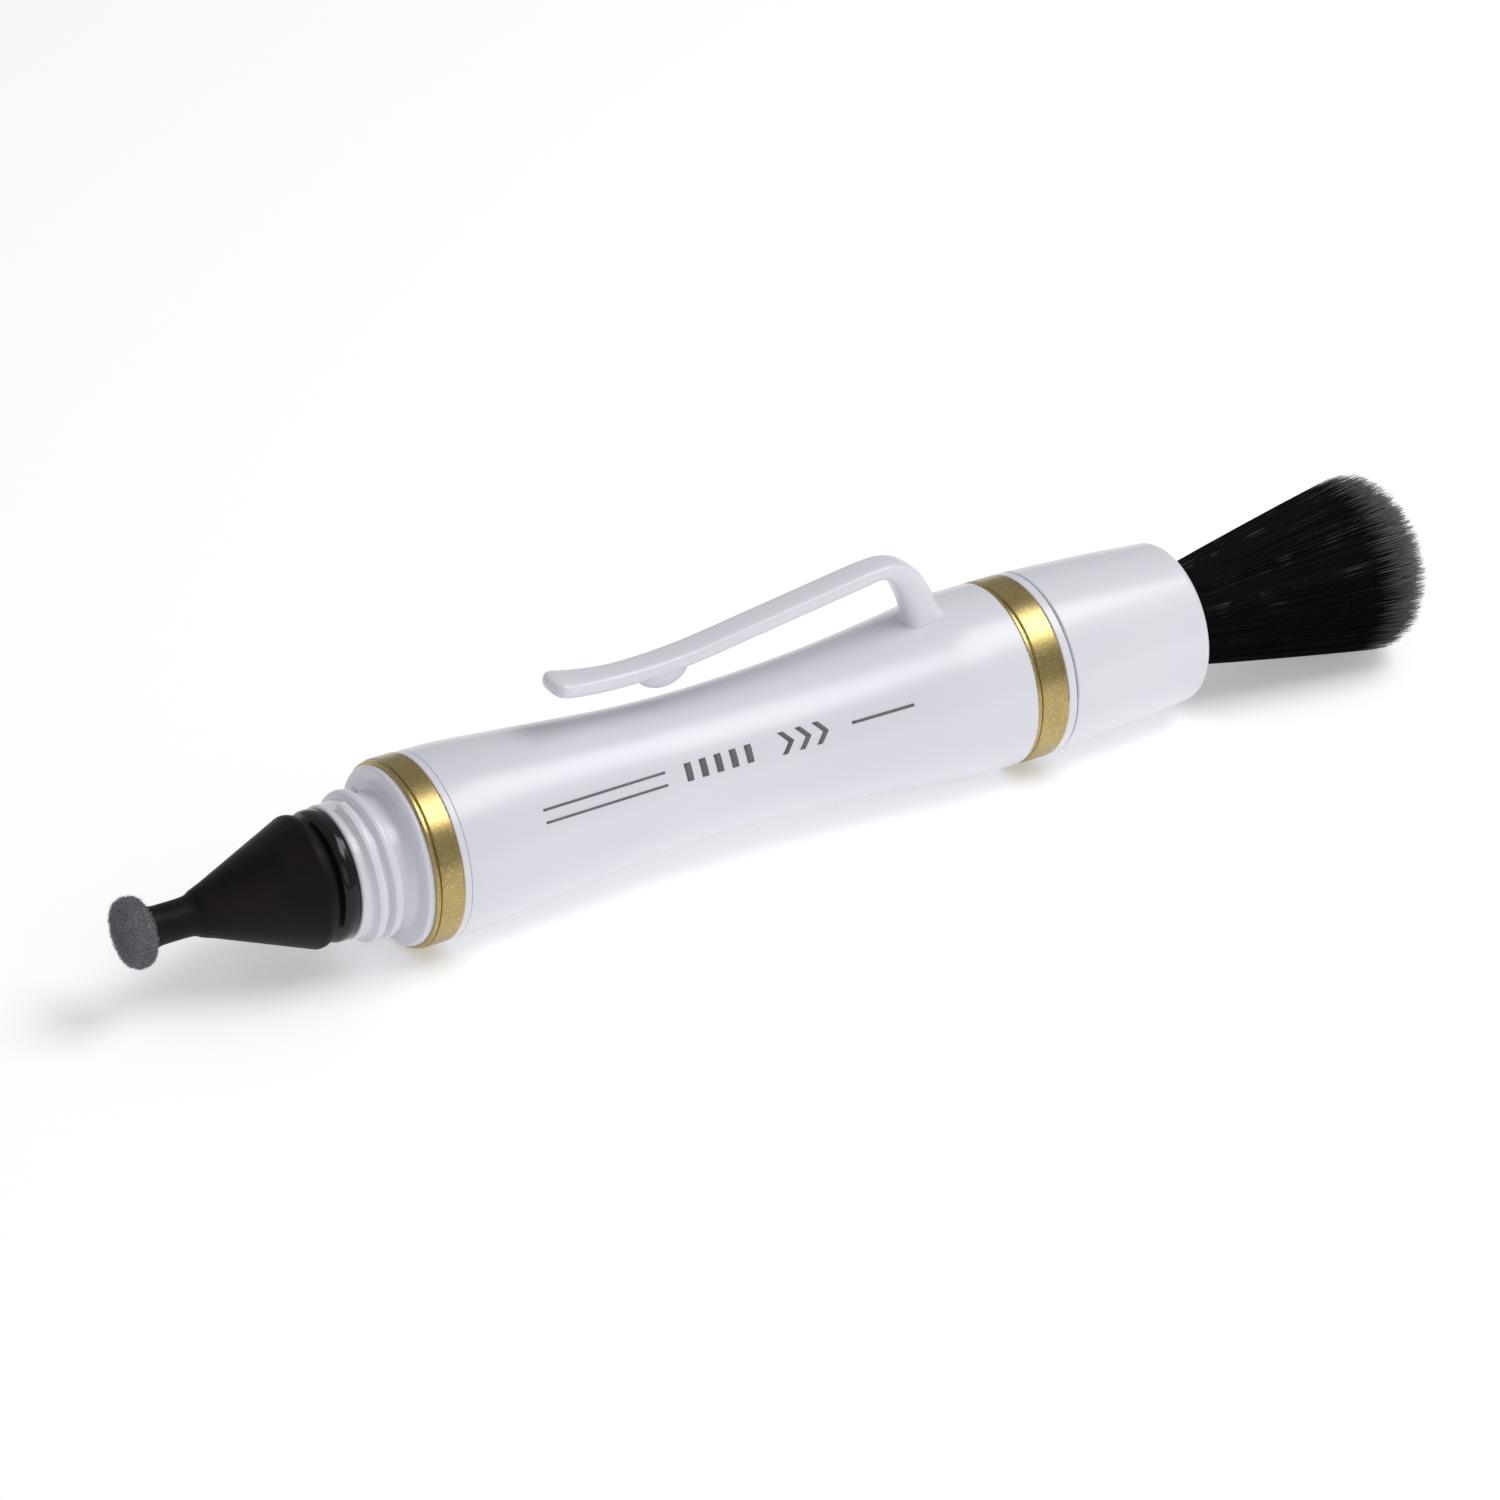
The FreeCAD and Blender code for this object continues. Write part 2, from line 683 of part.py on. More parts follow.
def make_brush_sleeve():
    """White outer sleeve: a hub glued on the tube, a gently curved wall and a rounded mouth."""
    hub_end = tube_back + glue_gap
    return turned("brush_sleeve", [
        (sleeve_start, tube_radius + glue_gap),
        (sleeve_start, sleeve_front_radius - band_edge, -band_edge),
        (sleeve_start + band_edge, sleeve_front_radius, -sleeve_curve),
        (sleeve_end - sleeve_edge, sleeve_end_radius, -sleeve_edge),
        (sleeve_end, sleeve_end_radius - sleeve_edge),
        (sleeve_end, sleeve_mouth),
        (hub_end, sleeve_cavity),
        (hub_end, tube_radius + glue_gap),
    ])


# ---- brush ---------------------------------------------------------------------------------

def make_rod_anchor():
    """Plug in the barrel's web that holds the brush rod."""
    flange = chamber_front + glue_gap
    return turned("rod_anchor", [
        (flange - anchor_length, rod_radius + glue_gap),
        (flange - anchor_length, web_bore - glue_gap),
        (flange, web_bore - glue_gap),
        (flange, chamber_radius - glue_gap),
        (flange + anchor_flange, chamber_radius - glue_gap),
        (flange + anchor_flange, rod_radius + glue_gap),
    ])


def make_brush_rod():
    """Steel rod from the anchor to the ferrule."""
    rod = doc.addObject("Part::Cylinder", "brush_rod")
    rod.Placement.Rotation = FreeCAD.Rotation(FreeCAD.Vector(0, 1, 0), 90)
    start = chamber_front - anchor_length
    return bind(rod, Radius=rod_radius, Height=potting_start - start - glue_gap, place_x=start)


def make_ferrule():
    """Metal cup that holds the hair."""
    inside = ferrule_radius - ferrule_wall
    return turned("ferrule", [
        (ferrule_start, rod_radius + glue_gap),
        (ferrule_start, ferrule_radius - ferrule_wall),
        (ferrule_start + ferrule_wall, ferrule_radius),
        (ferrule_end, ferrule_radius),
        (ferrule_end, inside),
        (potting_start, inside),
        (potting_start, rod_radius + glue_gap),
    ])


def make_hair_potting():
    """Resin plug that binds the roots of the hair in the ferrule."""
    outside = ferrule_radius - ferrule_wall - glue_gap
    back = potting_start + potting_length
    return turned("hair_potting", [
        (potting_start, 0), (potting_start, outside), (back, outside), (back, 0)])


def make_bristles():
    """The space that the hair fills: straight in the ferrule, flaring, with a domed end."""
    inside = ferrule_radius - ferrule_wall - glue_gap
    hair_root = potting_start + potting_length + glue_gap
    brush_end = sleeve_end + brush_reach
    dome_curve = (brush_radius * brush_radius + brush_dome * brush_dome) / (brush_dome * 2)
    return turned("bristles", [
        (hair_root, 0),
        (hair_root, inside),
        (ferrule_end, inside),
        (sleeve_end, brush_neck_radius),
        (brush_end - brush_dome, brush_radius, -dome_curve),
        (brush_end, 0),
    ])


# ---- tip -----------------------------------------------------------------------------------

def make_tip_holder():
    """Glossy black ring with a plug in the nose behind it and a stud in the cone before it."""
    stud_front = cone_base - stud_length + glue_gap
    plug_end = nose_front + plug_length
    return turned("tip_holder", [
        (stud_front, 0),
        (stud_front, stud_radius - ring_edge),
        (stud_front + ring_edge, stud_radius),
        (cone_base + glue_gap, stud_radius),
        (cone_base + glue_gap, groove_radius),
        (ring_front, groove_radius),
        (ring_front, ring_radius - ring_edge, -ring_edge),
        (ring_front + ring_edge, ring_radius),
        (nose_front - glue_gap, ring_radius),
        (nose_front - glue_gap, nose_bore - glue_gap),
        (plug_end, nose_bore - glue_gap),
        (plug_end, plug_bore),
        (nose_front + plug_floor, plug_bore),
        (nose_front + plug_floor, 0),
    ])


def make_tip_cone():
    """Matte cone with a ball socket in its tip for the rubber neck."""
    socket = neck_radius + running_gap
    socket_rim = root(socket * socket - neck_setting * neck_setting)
    bore_end = cone_base - stud_length
    return turned("tip_cone", [
        (neck_pivot + socket, 0, socket),
        (cone_tip, socket_rim),
        (cone_tip, cone_tip_radius),
        (cone_base - cone_edge, cone_base_radius, -cone_edge),
        (cone_base, cone_base_radius - cone_edge / 2),
        (cone_base, stud_radius + glue_gap),
        (bore_end, stud_radius + glue_gap),
        (bore_end, 0),
    ])


def make_neck():
    """Rubber neck: a ball in the cone behind, a socket for the head's ball in front."""
    socket = head_ball + running_gap
    socket_rim = root(socket * socket - head_setting * head_setting)
    return turned("neck", [
        (head_pivot + socket, 0, socket),
        (neck_front, socket_rim),
        (neck_front, neck_radius),
        (neck_pivot, neck_radius, -neck_radius),
        (neck_pivot + neck_radius, 0),
    ])


def make_pad_head():
    """Head: a ball in the neck, a flare and the plate that carries the pad."""
    return turned("pad_head", [
        (plate_end, 0),
        (plate_end, plate_radius),
        (plate_start, plate_radius, flare_length * flare_curve_share),
        (head_pivot, neck_radius),
        (head_pivot, head_ball, -head_ball),
        (head_pivot + head_ball, 0),
    ])


def make_pad_cushion():
    """Soft foam disc between the plate and the pad."""
    front = plate_end - cushion_length
    return turned("pad_cushion", [
        (front, 0), (front, cushion_radius), (plate_end, cushion_radius), (plate_end, 0)])


def make_cleaning_pad():
    """Slightly dished cleaning pad, with a recess behind for the cushion and the plate's rim."""
    floor = plate_end - cushion_length - glue_gap
    return turned("cleaning_pad", [
        (pad_front + pad_dish, 0),
        (pad_front, pad_radius - pad_edge, -pad_edge),
        (pad_front + pad_edge, pad_radius),
        (pad_back, pad_radius),
        (pad_back, plate_radius + glue_gap),
        (plate_end - glue_gap, plate_radius + glue_gap),
        (plate_end - glue_gap, cushion_radius + glue_gap),
        (floor, cushion_radius + glue_gap),
        (floor, 0),
    ])


# ---- the assembly ----------------------------------------------------------------------------

barrel_form = turned("barrel_form", barrel_outside() + [(barrel_end, 0), (barrel_start, 0)])
nodes = [
    make_nose(),
    make_band("front_band", front_band_start, front_band_length),
    make_barrel(tenon_block("tenon_pocket", glue_gap)),
    make_band("rear_band", barrel_end, rear_band_length),
    make_rear_bush(),
    make_friction_ring(),
    make_slide_tube(),
    make_stop_ring(),
    make_brush_sleeve(),
    make_rod_anchor(),
    make_brush_rod(),
    make_ferrule(),
    make_hair_potting(),
    make_bristles(),
    make_tip_holder(),
    make_tip_cone(),
    make_neck(),
    make_pad_head(),
    make_pad_cushion(),
    make_cleaning_pad(),
    make_clip_arm(),
    make_clip_post(barrel_form),
]
doc.recompute()

for thing in doc.Objects:
    if "Invalid" in thing.State or "Error" in thing.State:
        raise RuntimeError(f"{thing.Name} failed: {thing.State}")
for node in nodes:
    if node.Shape.isNull() or not node.Shape.isValid() or len(node.Shape.Solids) != 1:
        raise RuntimeError(f"{node.Label} has no single valid solid")

os.makedirs("parts", exist_ok=True)
for node in nodes:
    node.Shape.exportStep(f"parts/{node.Label}.step")
    print(f"{node.Label}: {node.Shape.Volume:.2f} mm3")
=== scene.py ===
import json
import math

import bmesh
import bpy
from mathutils import Matrix, Vector, noise
from mathutils.bvhtree import BVHTree


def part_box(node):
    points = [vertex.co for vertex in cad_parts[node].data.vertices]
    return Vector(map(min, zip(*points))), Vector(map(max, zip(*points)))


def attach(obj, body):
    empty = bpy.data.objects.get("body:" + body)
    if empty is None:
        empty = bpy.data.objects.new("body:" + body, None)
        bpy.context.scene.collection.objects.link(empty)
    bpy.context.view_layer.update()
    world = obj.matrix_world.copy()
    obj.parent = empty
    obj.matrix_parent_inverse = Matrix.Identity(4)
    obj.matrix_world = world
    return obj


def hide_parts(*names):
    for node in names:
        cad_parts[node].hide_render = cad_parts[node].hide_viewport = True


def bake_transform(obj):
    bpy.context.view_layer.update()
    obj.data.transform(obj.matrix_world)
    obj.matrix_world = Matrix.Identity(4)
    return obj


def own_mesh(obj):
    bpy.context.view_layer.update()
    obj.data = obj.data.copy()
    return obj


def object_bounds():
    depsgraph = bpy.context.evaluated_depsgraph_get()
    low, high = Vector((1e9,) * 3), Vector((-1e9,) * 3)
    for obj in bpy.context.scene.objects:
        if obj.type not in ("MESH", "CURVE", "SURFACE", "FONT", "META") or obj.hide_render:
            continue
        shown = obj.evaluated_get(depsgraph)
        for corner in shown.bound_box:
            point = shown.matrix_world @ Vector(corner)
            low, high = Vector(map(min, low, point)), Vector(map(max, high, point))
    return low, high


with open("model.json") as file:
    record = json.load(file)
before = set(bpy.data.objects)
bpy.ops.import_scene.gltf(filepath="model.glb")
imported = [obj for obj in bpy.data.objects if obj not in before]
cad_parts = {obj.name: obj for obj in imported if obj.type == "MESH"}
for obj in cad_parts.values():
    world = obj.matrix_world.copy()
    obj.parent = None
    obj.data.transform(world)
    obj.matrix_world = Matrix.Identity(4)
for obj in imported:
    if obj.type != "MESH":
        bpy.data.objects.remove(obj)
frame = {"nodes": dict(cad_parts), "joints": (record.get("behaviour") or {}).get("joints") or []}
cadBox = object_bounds()
nodes = frame["nodes"]
joints = {joint["name"]: joint for joint in frame["joints"]}
mm = 0.001  # shapes below are drawn in millimetres, then scaled into the frame


def boxInMm(node):
    low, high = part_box(node)
    return low / mm, high / mm


def pivotInMm(joint):
    return Vector(joints[joint]["pos_m"]) / mm


# small makers that every piece uses

def addNode(tree, kind, inputs=None, **settings):
    # an input is either a value or the socket that feeds it
    node = tree.nodes.new(kind)
    for name, value in settings.items():
        setattr(node, name, value)
    for name, value in (inputs or {}).items():
        if isinstance(value, bpy.types.NodeSocket):
            tree.links.new(value, node.inputs[name])
        else:
            node.inputs[name].default_value = value
    return node


def calc(tree, operation, *terms):
    node = addNode(tree, "ShaderNodeMath", dict(enumerate(terms)), operation=operation)
    return node.outputs[0]


def meshInMm(name, verts, faces):
    mesh = bpy.data.meshes.new(name)
    mesh.from_pydata(verts, [], faces)
    mesh.validate()
    return mesh


def finishMesh(mesh, merge=0.0005):
    # doubles merged and faces turned outwards while still in millimetres
    work = bmesh.new()
    work.from_mesh(mesh)
    bmesh.ops.remove_doubles(work, verts=work.verts, dist=merge)
    bmesh.ops.recalc_face_normals(work, faces=work.faces)
    for face in work.faces:
        face.smooth = True
    work.to_mesh(mesh)
    work.free()
    mesh.transform(Matrix.Scale(mm, 4))
    mesh.update()


def placePiece(name, mesh, material):
    mesh.materials.clear()
    mesh.materials.append(material)
    piece = bpy.data.objects.new(name, mesh)
    bpy.context.scene.collection.objects.link(piece)
    return piece


def evaluatedMesh(piece):
    # every modifier becomes plain mesh, and none is left on the piece
    graph = bpy.context.evaluated_depsgraph_get()
    made = bpy.data.meshes.new_from_object(
        piece.evaluated_get(graph), preserve_all_data_layers=True, depsgraph=graph)
    piece.modifiers.clear()
    piece.data = made
    return made


def smoothLine(points, steps):
    # a Catmull-Rom line through the points, whatever their number of coordinates
    ends = [points[0]] + list(points) + [points[-1]]
    line = []
    for first, start, stop, last in zip(ends, ends[1:], ends[2:], ends[3:]):
        for step in range(steps):
            t = step / steps
            line.append(tuple(
                0.5 * (2 * b + (c - a) * t + (2 * a - 5 * b + 4 * c - d) * t * t
                       + (3 * b - a - 3 * c + d) * t ** 3)
                for a, b, c, d in zip(first, start, stop, last)))
    line.append(tuple(points[-1]))
    return line


def outlineFrom(places, radius, points):
    # each point says which place it starts from, how far along, and how much wider it is
    return [(places[start] + shift, radius + wider) for start, shift, wider in points]


def ringFaces(rings, around, closed):
    # joins rings of points into a tube, with a face over each end if it is closed
    faces = []
    for ring in range(rings - 1):
        for turn in range(around):
            after = (turn + 1) % around
            faces.append((ring * around + turn, ring * around + after,
                          (ring + 1) * around + after, (ring + 1) * around + turn))
    if closed:
        faces.append(tuple(range(around)))
        faces.append(tuple((rings - 1) * around + turn for turn in range(around)))
    return faces


def latheMesh(name, outline, around, closed=False):
    # outline is (place, radius) along the pen's axis; an open one ends on the axis itself
    verts = []
    for place, radius in outline:
        for turn in range(around):
            angle = 2 * math.pi * turn / around
            verts.append((place, radius * math.sin(angle), radius * math.cos(angle)))
    return meshInMm(name, verts, ringFaces(len(outline), around, closed))


# shader groups: grain, handling marks

def startGroup(name, inputs, outputs):
    tree = bpy.data.node_groups.new(name, "ShaderNodeTree")
    for label, kind, value in inputs:
        socket = tree.interface.new_socket(label, in_out="INPUT", socket_type=kind)
        if value is not None:
            socket.default_value = value
    for label in outputs:
        tree.interface.new_socket(label, in_out="OUTPUT", socket_type="NodeSocketFloat")
    return tree, tree.nodes.new("NodeGroupInput"), tree.nodes.new("NodeGroupOutput")


def makeGrainGroup():
    # broad shade for colour, and fine grain for bump and sparkle; scales are cycles per millimetre
    tree, entry, leave = startGroup("mouldGrain", [
        ("Vector", "NodeSocketVector", None),
        ("Broad", "NodeSocketFloat", 0.2),
        ("Fine", "NodeSocketFloat", 8.0),
    ], ["Shade", "Height"])
    broad = calc(tree, "MULTIPLY", entry.outputs["Broad"], 1 / mm)
    fine = calc(tree, "MULTIPLY", entry.outputs["Fine"], 1 / mm)
    cloud = addNode(tree, "ShaderNodeTexNoise", {
        "Vector": entry.outputs["Vector"], "Scale": broad, "Detail": 3.0, "Roughness": 0.5})
    grit = addNode(tree, "ShaderNodeTexNoise", {
        "Vector": entry.outputs["Vector"], "Scale": fine, "Detail": 2.0, "Roughness": 0.6})
    spread = addNode(tree, "ShaderNodeMapRange", {
        "Value": cloud.outputs["Fac"], "From Min": 0.3, "From Max": 0.7})
    tree.links.new(spread.outputs["Result"], leave.inputs["Shade"])
    tree.links.new(grit.outputs["Fac"], leave.inputs["Height"])
    return tree


def makeMarksGroup():
    # long fine rubs along the pen and a few specks, as a handled pen gathers them
    tree, entry, leave = startGroup("handlingMarks", [
        ("Vector", "NodeSocketVector", None),
        ("Rubs", "NodeSocketFloat", 3.0),
        ("Specks", "NodeSocketFloat", 1.2),
    ], ["Rub", "Speck"])
    stretched = addNode(tree, "ShaderNodeMapping", {
        "Vector": entry.outputs["Vector"], "Scale": (0.12, 1.0, 1.0)})
    rubScale = calc(tree, "MULTIPLY", entry.outputs["Rubs"], 1 / mm)
    rub = addNode(tree, "ShaderNodeTexNoise", {
        "Vector": stretched.outputs["Vector"], "Scale": rubScale, "Detail": 4.0, "Roughness": 0.7})
    rubMask = addNode(tree, "ShaderNodeMapRange", {
        "Value": rub.outputs["Fac"], "From Min": 0.5, "From Max": 0.8})
    speckScale = calc(tree, "MULTIPLY", entry.outputs["Specks"], 1 / mm)
    speck = addNode(tree, "ShaderNodeTexVoronoi", {
        "Vector": entry.outputs["Vector"], "Scale": speckScale})
    speckMask = addNode(tree, "ShaderNodeMapRange", {
        "Value": speck.outputs["Distance"], "From Min": 0.09, "From Max": 0.03})
    tree.links.new(rubMask.outputs["Result"], leave.inputs["Rub"])
    tree.links.new(speckMask.outputs["Result"], leave.inputs["Speck"])
    return tree


grainGroup = makeGrainGroup()
marksGroup = makeMarksGroup()


def mixColour(tree, share, first, second):
    node = tree.nodes.new("ShaderNodeMix")
    node.data_type = "RGBA"
    for place, value in ((0, share), (6, first), (7, second)):
        if isinstance(value, bpy.types.NodeSocket):
            tree.links.new(value, node.inputs[place])
        else:
            node.inputs[place].default_value = value if place == 0 else (*value, 1.0)
    return node.outputs[2]


fleckFade = 0.12  # how much more height it takes before a raised fleck has its full colour


def makeFinish(name, look):
    # one finish: two close colours, a roughness range, grain bump and handling marks
    material = bpy.data.materials.new(name)
    material.use_nodes = True
    tree = material.node_tree
    shader = tree.nodes["Principled BSDF"]
    for label, value in look["shader"].items():
        shader.inputs[label].default_value = value
    where = tree.nodes.new("ShaderNodeTexCoord").outputs["Object"]
    grain = addNode(tree, "ShaderNodeGroup", {
        "Vector": where, "Broad": look["broad"], "Fine": look["fine"]}, node_tree=grainGroup)
    marks = addNode(tree, "ShaderNodeGroup", {"Vector": where}, node_tree=marksGroup)
    colour = mixColour(tree, grain.outputs["Shade"], look["colour"], look["shade"])
    if look.get("fleck"):
        raised = addNode(tree, "ShaderNodeMapRange", {
            "Value": grain.outputs["Height"], "From Min": look["fleckFrom"],
            "From Max": look["fleckFrom"] + fleckFade})
        colour = mixColour(tree, raised.outputs["Result"], colour, look["fleck"])
    worn = calc(tree, "MULTIPLY", marks.outputs["Speck"], look.get("speckShare", 0.1))
    colour = mixColour(tree, worn, colour, look.get("speckColour", look["shade"]))
    tree.links.new(colour, shader.inputs["Base Color"])
    low, high = look["roughness"]
    rough = addNode(tree, "ShaderNodeMapRange", {
        "Value": marks.outputs["Rub"], "To Min": low, "To Max": high})
    tree.links.new(rough.outputs["Result"], shader.inputs["Roughness"])
    bump = addNode(tree, "ShaderNodeBump", {
        "Height": grain.outputs["Height"], "Strength": look["bump"],
        "Distance": look["depth"] * mm})
    tree.links.new(bump.outputs["Normal"], shader.inputs["Normal"])
    return material


finishLooks = {
    "whitePlastic": {
        "colour": (0.745, 0.745, 0.785), "shade": (0.71, 0.71, 0.765),
        "roughness": (0.30, 0.33), "broad": 0.09, "fine": 3.0, "bump": 0.06, "depth": 0.004,
        "speckShare": 0.06, "speckColour": (0.50, 0.50, 0.54),
        "shader": {"IOR": 1.5, "Coat Weight": 0.30, "Coat Roughness": 0.20},
    },
    "satinGold": {
        "colour": (0.44, 0.34, 0.132), "shade": (0.37, 0.282, 0.108),
        "roughness": (0.28, 0.35), "broad": 0.5, "fine": 11.0, "bump": 0.42, "depth": 0.012,
        "fleck": (0.76, 0.62, 0.32), "fleckFrom": 0.57,
        "shader": {"Metallic": 1.0},
    },
    "matteBlack": {
        "colour": (0.0058, 0.0040, 0.0032), "shade": (0.0100, 0.0070, 0.0057),
        "roughness": (0.46, 0.56), "broad": 0.4, "fine": 14.0, "bump": 0.30, "depth": 0.012,
        "speckShare": 0.35, "speckColour": (0.06, 0.055, 0.05),
        "shader": {"IOR": 1.48, "Specular IOR Level": 0.12},
    },
    "glossBlack": {
        "colour": (0.003, 0.003, 0.004), "shade": (0.006, 0.005, 0.006),
        "roughness": (0.14, 0.20), "broad": 0.4, "fine": 6.0, "bump": 0.05, "depth": 0.004,
        "shader": {"IOR": 1.5, "Specular IOR Level": 0.32},
    },
    "softRubber": {
        "colour": (0.016, 0.0125, 0.011), "shade": (0.026, 0.020, 0.018),
        "roughness": (0.50, 0.62), "broad": 0.6, "fine": 16.0, "bump": 0.35, "depth": 0.012,
        "speckShare": 0.4, "speckColour": (0.08, 0.07, 0.065),
        "shader": {"IOR": 1.46, "Sheen Weight": 0.15},
    },
    "greyFelt": {
        "colour": (0.120, 0.129, 0.145), "shade": (0.185, 0.196, 0.215),
        "roughness": (0.88, 0.97), "broad": 1.6, "fine": 9.0, "bump": 0.5, "depth": 0.03,
        "fleck": (0.40, 0.415, 0.44), "fleckFrom": 0.50,
        "shader": {"Sheen Weight": 0.4, "Sheen Roughness": 0.5},
    },
    "brightSteel": {
        "colour": (0.56, 0.56, 0.58), "shade": (0.48, 0.48, 0.50),
        "roughness": (0.22, 0.34), "broad": 0.4, "fine": 12.0, "bump": 0.15, "depth": 0.01,
        "shader": {"Metallic": 1.0},
    },
    "drawnAluminium": {
        "colour": (0.68, 0.69, 0.71), "shade": (0.60, 0.61, 0.63),
        "roughness": (0.28, 0.42), "broad": 0.4, "fine": 10.0, "bump": 0.15, "depth": 0.01,
        "shader": {"Metallic": 1.0},
    },
    "amberResin": {
        "colour": (0.30, 0.19, 0.07), "shade": (0.22, 0.13, 0.05),
        "roughness": (0.20, 0.30), "broad": 0.5, "fine": 5.0, "bump": 0.1, "depth": 0.02,
        "shader": {"IOR": 1.55},
    },
    "paleFoam": {
        "colour": (0.42, 0.43, 0.44), "shade": (0.30, 0.31, 0.32),
        "roughness": (0.9, 0.98), "broad": 2.0, "fine": 7.0, "bump": 0.9, "depth": 0.08,
        "shader": {"Sheen Weight": 0.2},
    },
    "greyInk": {
        "colour": (0.105, 0.103, 0.103), "shade": (0.15, 0.148, 0.15),
        "roughness": (0.40, 0.52), "broad": 0.8, "fine": 12.0, "bump": 0.2, "depth": 0.005,
        "shader": {"IOR": 1.45},
    },
}
finishes = {name: makeFinish(name, look) for name, look in finishLooks.items()}


hairLook = {
    # the glint colour and the patch values below paint a highlight onto a few strands
    "dark": (0.0018, 0.0015, 0.0016), "paintedGlint": (0.085, 0.078, 0.074), "tips": (0.26, 0.26, 0.235),
    "patches": 0.55, "patchRange": (0.50, 0.66), "litFrom": 0.86, "tipsFrom": 0.92,
    # tips, tipsFrom and tipsShare paint the thin ends grey, standing in for light showing through
    # them
    "tipsShare": 0.85, "roughness": (0.65, 0.40), "specular": 0.12,
}


def makeHairFinish():
    # black hair: a few strands get a painted glint, and the thin ends are painted grey for light
    # showing through them
    material = bpy.data.materials.new("blackHair")
    material.use_nodes = True
    tree = material.node_tree
    shader = tree.nodes["Principled BSDF"]
    tint = addNode(tree, "ShaderNodeAttribute", attribute_name="strandTint")
    along = addNode(tree, "ShaderNodeAttribute", attribute_name="alongStrand")
    where = tree.nodes.new("ShaderNodeTexCoord").outputs["Object"]
    # painted glint: noise patches on strands with a high tint get a lighter colour, standing in for
    # light caught by the hair
    patches = addNode(tree, "ShaderNodeTexNoise", {
        "Vector": where, "Scale": hairLook["patches"] / mm, "Detail": 2.0})
    patchLow, patchHigh = hairLook["patchRange"]
    lit = addNode(tree, "ShaderNodeMapRange", {
        "Value": patches.outputs["Fac"], "From Min": patchLow, "From Max": patchHigh})
    chosen = addNode(tree, "ShaderNodeMapRange", {
        "Value": tint.outputs["Fac"], "From Min": hairLook["litFrom"], "From Max": 1.0})
    paintedGlint = calc(tree, "MULTIPLY", lit.outputs["Result"], chosen.outputs["Result"])
    colour = mixColour(tree, paintedGlint, hairLook["dark"], hairLook["paintedGlint"])
    # painted light: the last part of each strand is turned grey as if lit through
    pale = addNode(tree, "ShaderNodeMapRange", {
        "Value": along.outputs["Fac"], "From Min": hairLook["tipsFrom"], "From Max": 1.0,
        "To Max": hairLook["tipsShare"]})
    colour = mixColour(tree, pale.outputs["Result"], colour, hairLook["tips"])
    tree.links.new(colour, shader.inputs["Base Color"])
    dull, shiny = hairLook["roughness"]
    rough = addNode(tree, "ShaderNodeMapRange", {
        "Value": paintedGlint, "To Min": dull, "To Max": shiny})
    tree.links.new(rough.outputs["Result"], shader.inputs["Roughness"])
    shader.inputs["Specular IOR Level"].default_value = hairLook["specular"]
    return material


finishes["blackHair"] = makeHairFinish()

nodeFinish = {
    "whitePlastic": ["threaded_nose", "barrel", "rear_bush", "brush_sleeve", "slide_tube",
                     "clip_arm", "clip_post"],
    "satinGold": ["front_band", "rear_band"],
    "matteBlack": ["tip_cone"],
    "glossBlack": ["tip_holder"],
    "softRubber": ["neck", "pad_head", "friction_ring"],
    "greyFelt": ["cleaning_pad"],
    "paleFoam": ["pad_cushion"],
    "brightSteel": ["brush_rod", "stop_ring"],
    "drawnAluminium": ["ferrule", "rod_anchor"],
    "amberResin": ["hair_potting"],
    "blackHair": ["bristles"],
}
for finish, names in nodeFinish.items():
    for name in names:
        nodes[name].data.materials.clear()
        nodes[name].data.materials.append(finishes[finish])
print("finishes made:", len(finishes))


# neck and pad head: one soft moulding, lathed here as two skins

neckLook = {
    "around": 72, "steps": 8, "blendRun": 0.45,
    # on the cone, the skin follows the cone's own slope, a little proud of it
    "coneSlope": 0.397, "coneTip": 1.45, "overCone": 0.9, "proud": 0.03,
    "onCone": [(1.0, 0.3), (0.6, 1.0), (0.2, 1.4)],
    "neckLine": [("tip", -0.22, 0.075), ("tip", -0.9, 0.01), ("neck", 0.0, 0.01),
                 ("nod", -0.02, 0.03)],
    "headLine": [("neck", 0.25, -0.02), ("nod", 0.05, 0.02), ("nod", -0.35, 0.09),
                 ("felt", 0.30, 0.20), ("felt", 0.10, 0.34), ("felt", -0.10, 0.36)],
}


def makeNeck():
    neckLow, neckHigh = boxInMm("neck")
    nod = pivotInMm("head_nod").x
    places = {"tip": boxInMm("tip_cone")[0].x, "neck": neckLow.x, "nod": nod,
              "felt": boxInMm("cleaning_pad")[1].x}
    slope, run = neckLook["coneSlope"], neckLook["overCone"]
    onCone = [(places["tip"] + run * share,
               neckLook["coneTip"] + slope * run * share + neckLook["proud"] * lift)
              for share, lift in neckLook["onCone"]]
    neckLine = outlineFrom(places, neckHigh.y, neckLook["neckLine"])
    outline = smoothLine(onCone + neckLine, neckLook["steps"])
    mesh = latheMesh("neck_skin", outline, neckLook["around"], closed=True)
    finishMesh(mesh)
    skin = placePiece("neck_skin", mesh, finishes["matteBlack"])
    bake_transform(skin)
    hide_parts("neck")
    headLine = outlineFrom(places, neckHigh.y, neckLook["headLine"])
    flare = smoothLine(headLine, neckLook["steps"])
    headMesh = latheMesh("pad_head_skin", flare, neckLook["around"], closed=True)
    finishMesh(headMesh)
    headSkin = placePiece("pad_head_skin", headMesh, finishes["matteBlack"])
    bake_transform(headSkin)
    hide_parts("pad_head")


makeNeck()
print("neck and pad head made")


# tip ring: the rounded glossy bead between cone and nose

beadLook = {
    "around": 128, "steps": 6,
    "line": [("cone", -0.15, -0.62), ("cone", 0.10, -0.40), ("cone", 0.32, -0.10),
             ("cone", 0.62, 0.0), ("cone", 0.98, -0.02), ("nose", -0.04, -0.14),
             ("nose", 0.02, -0.50)],
}


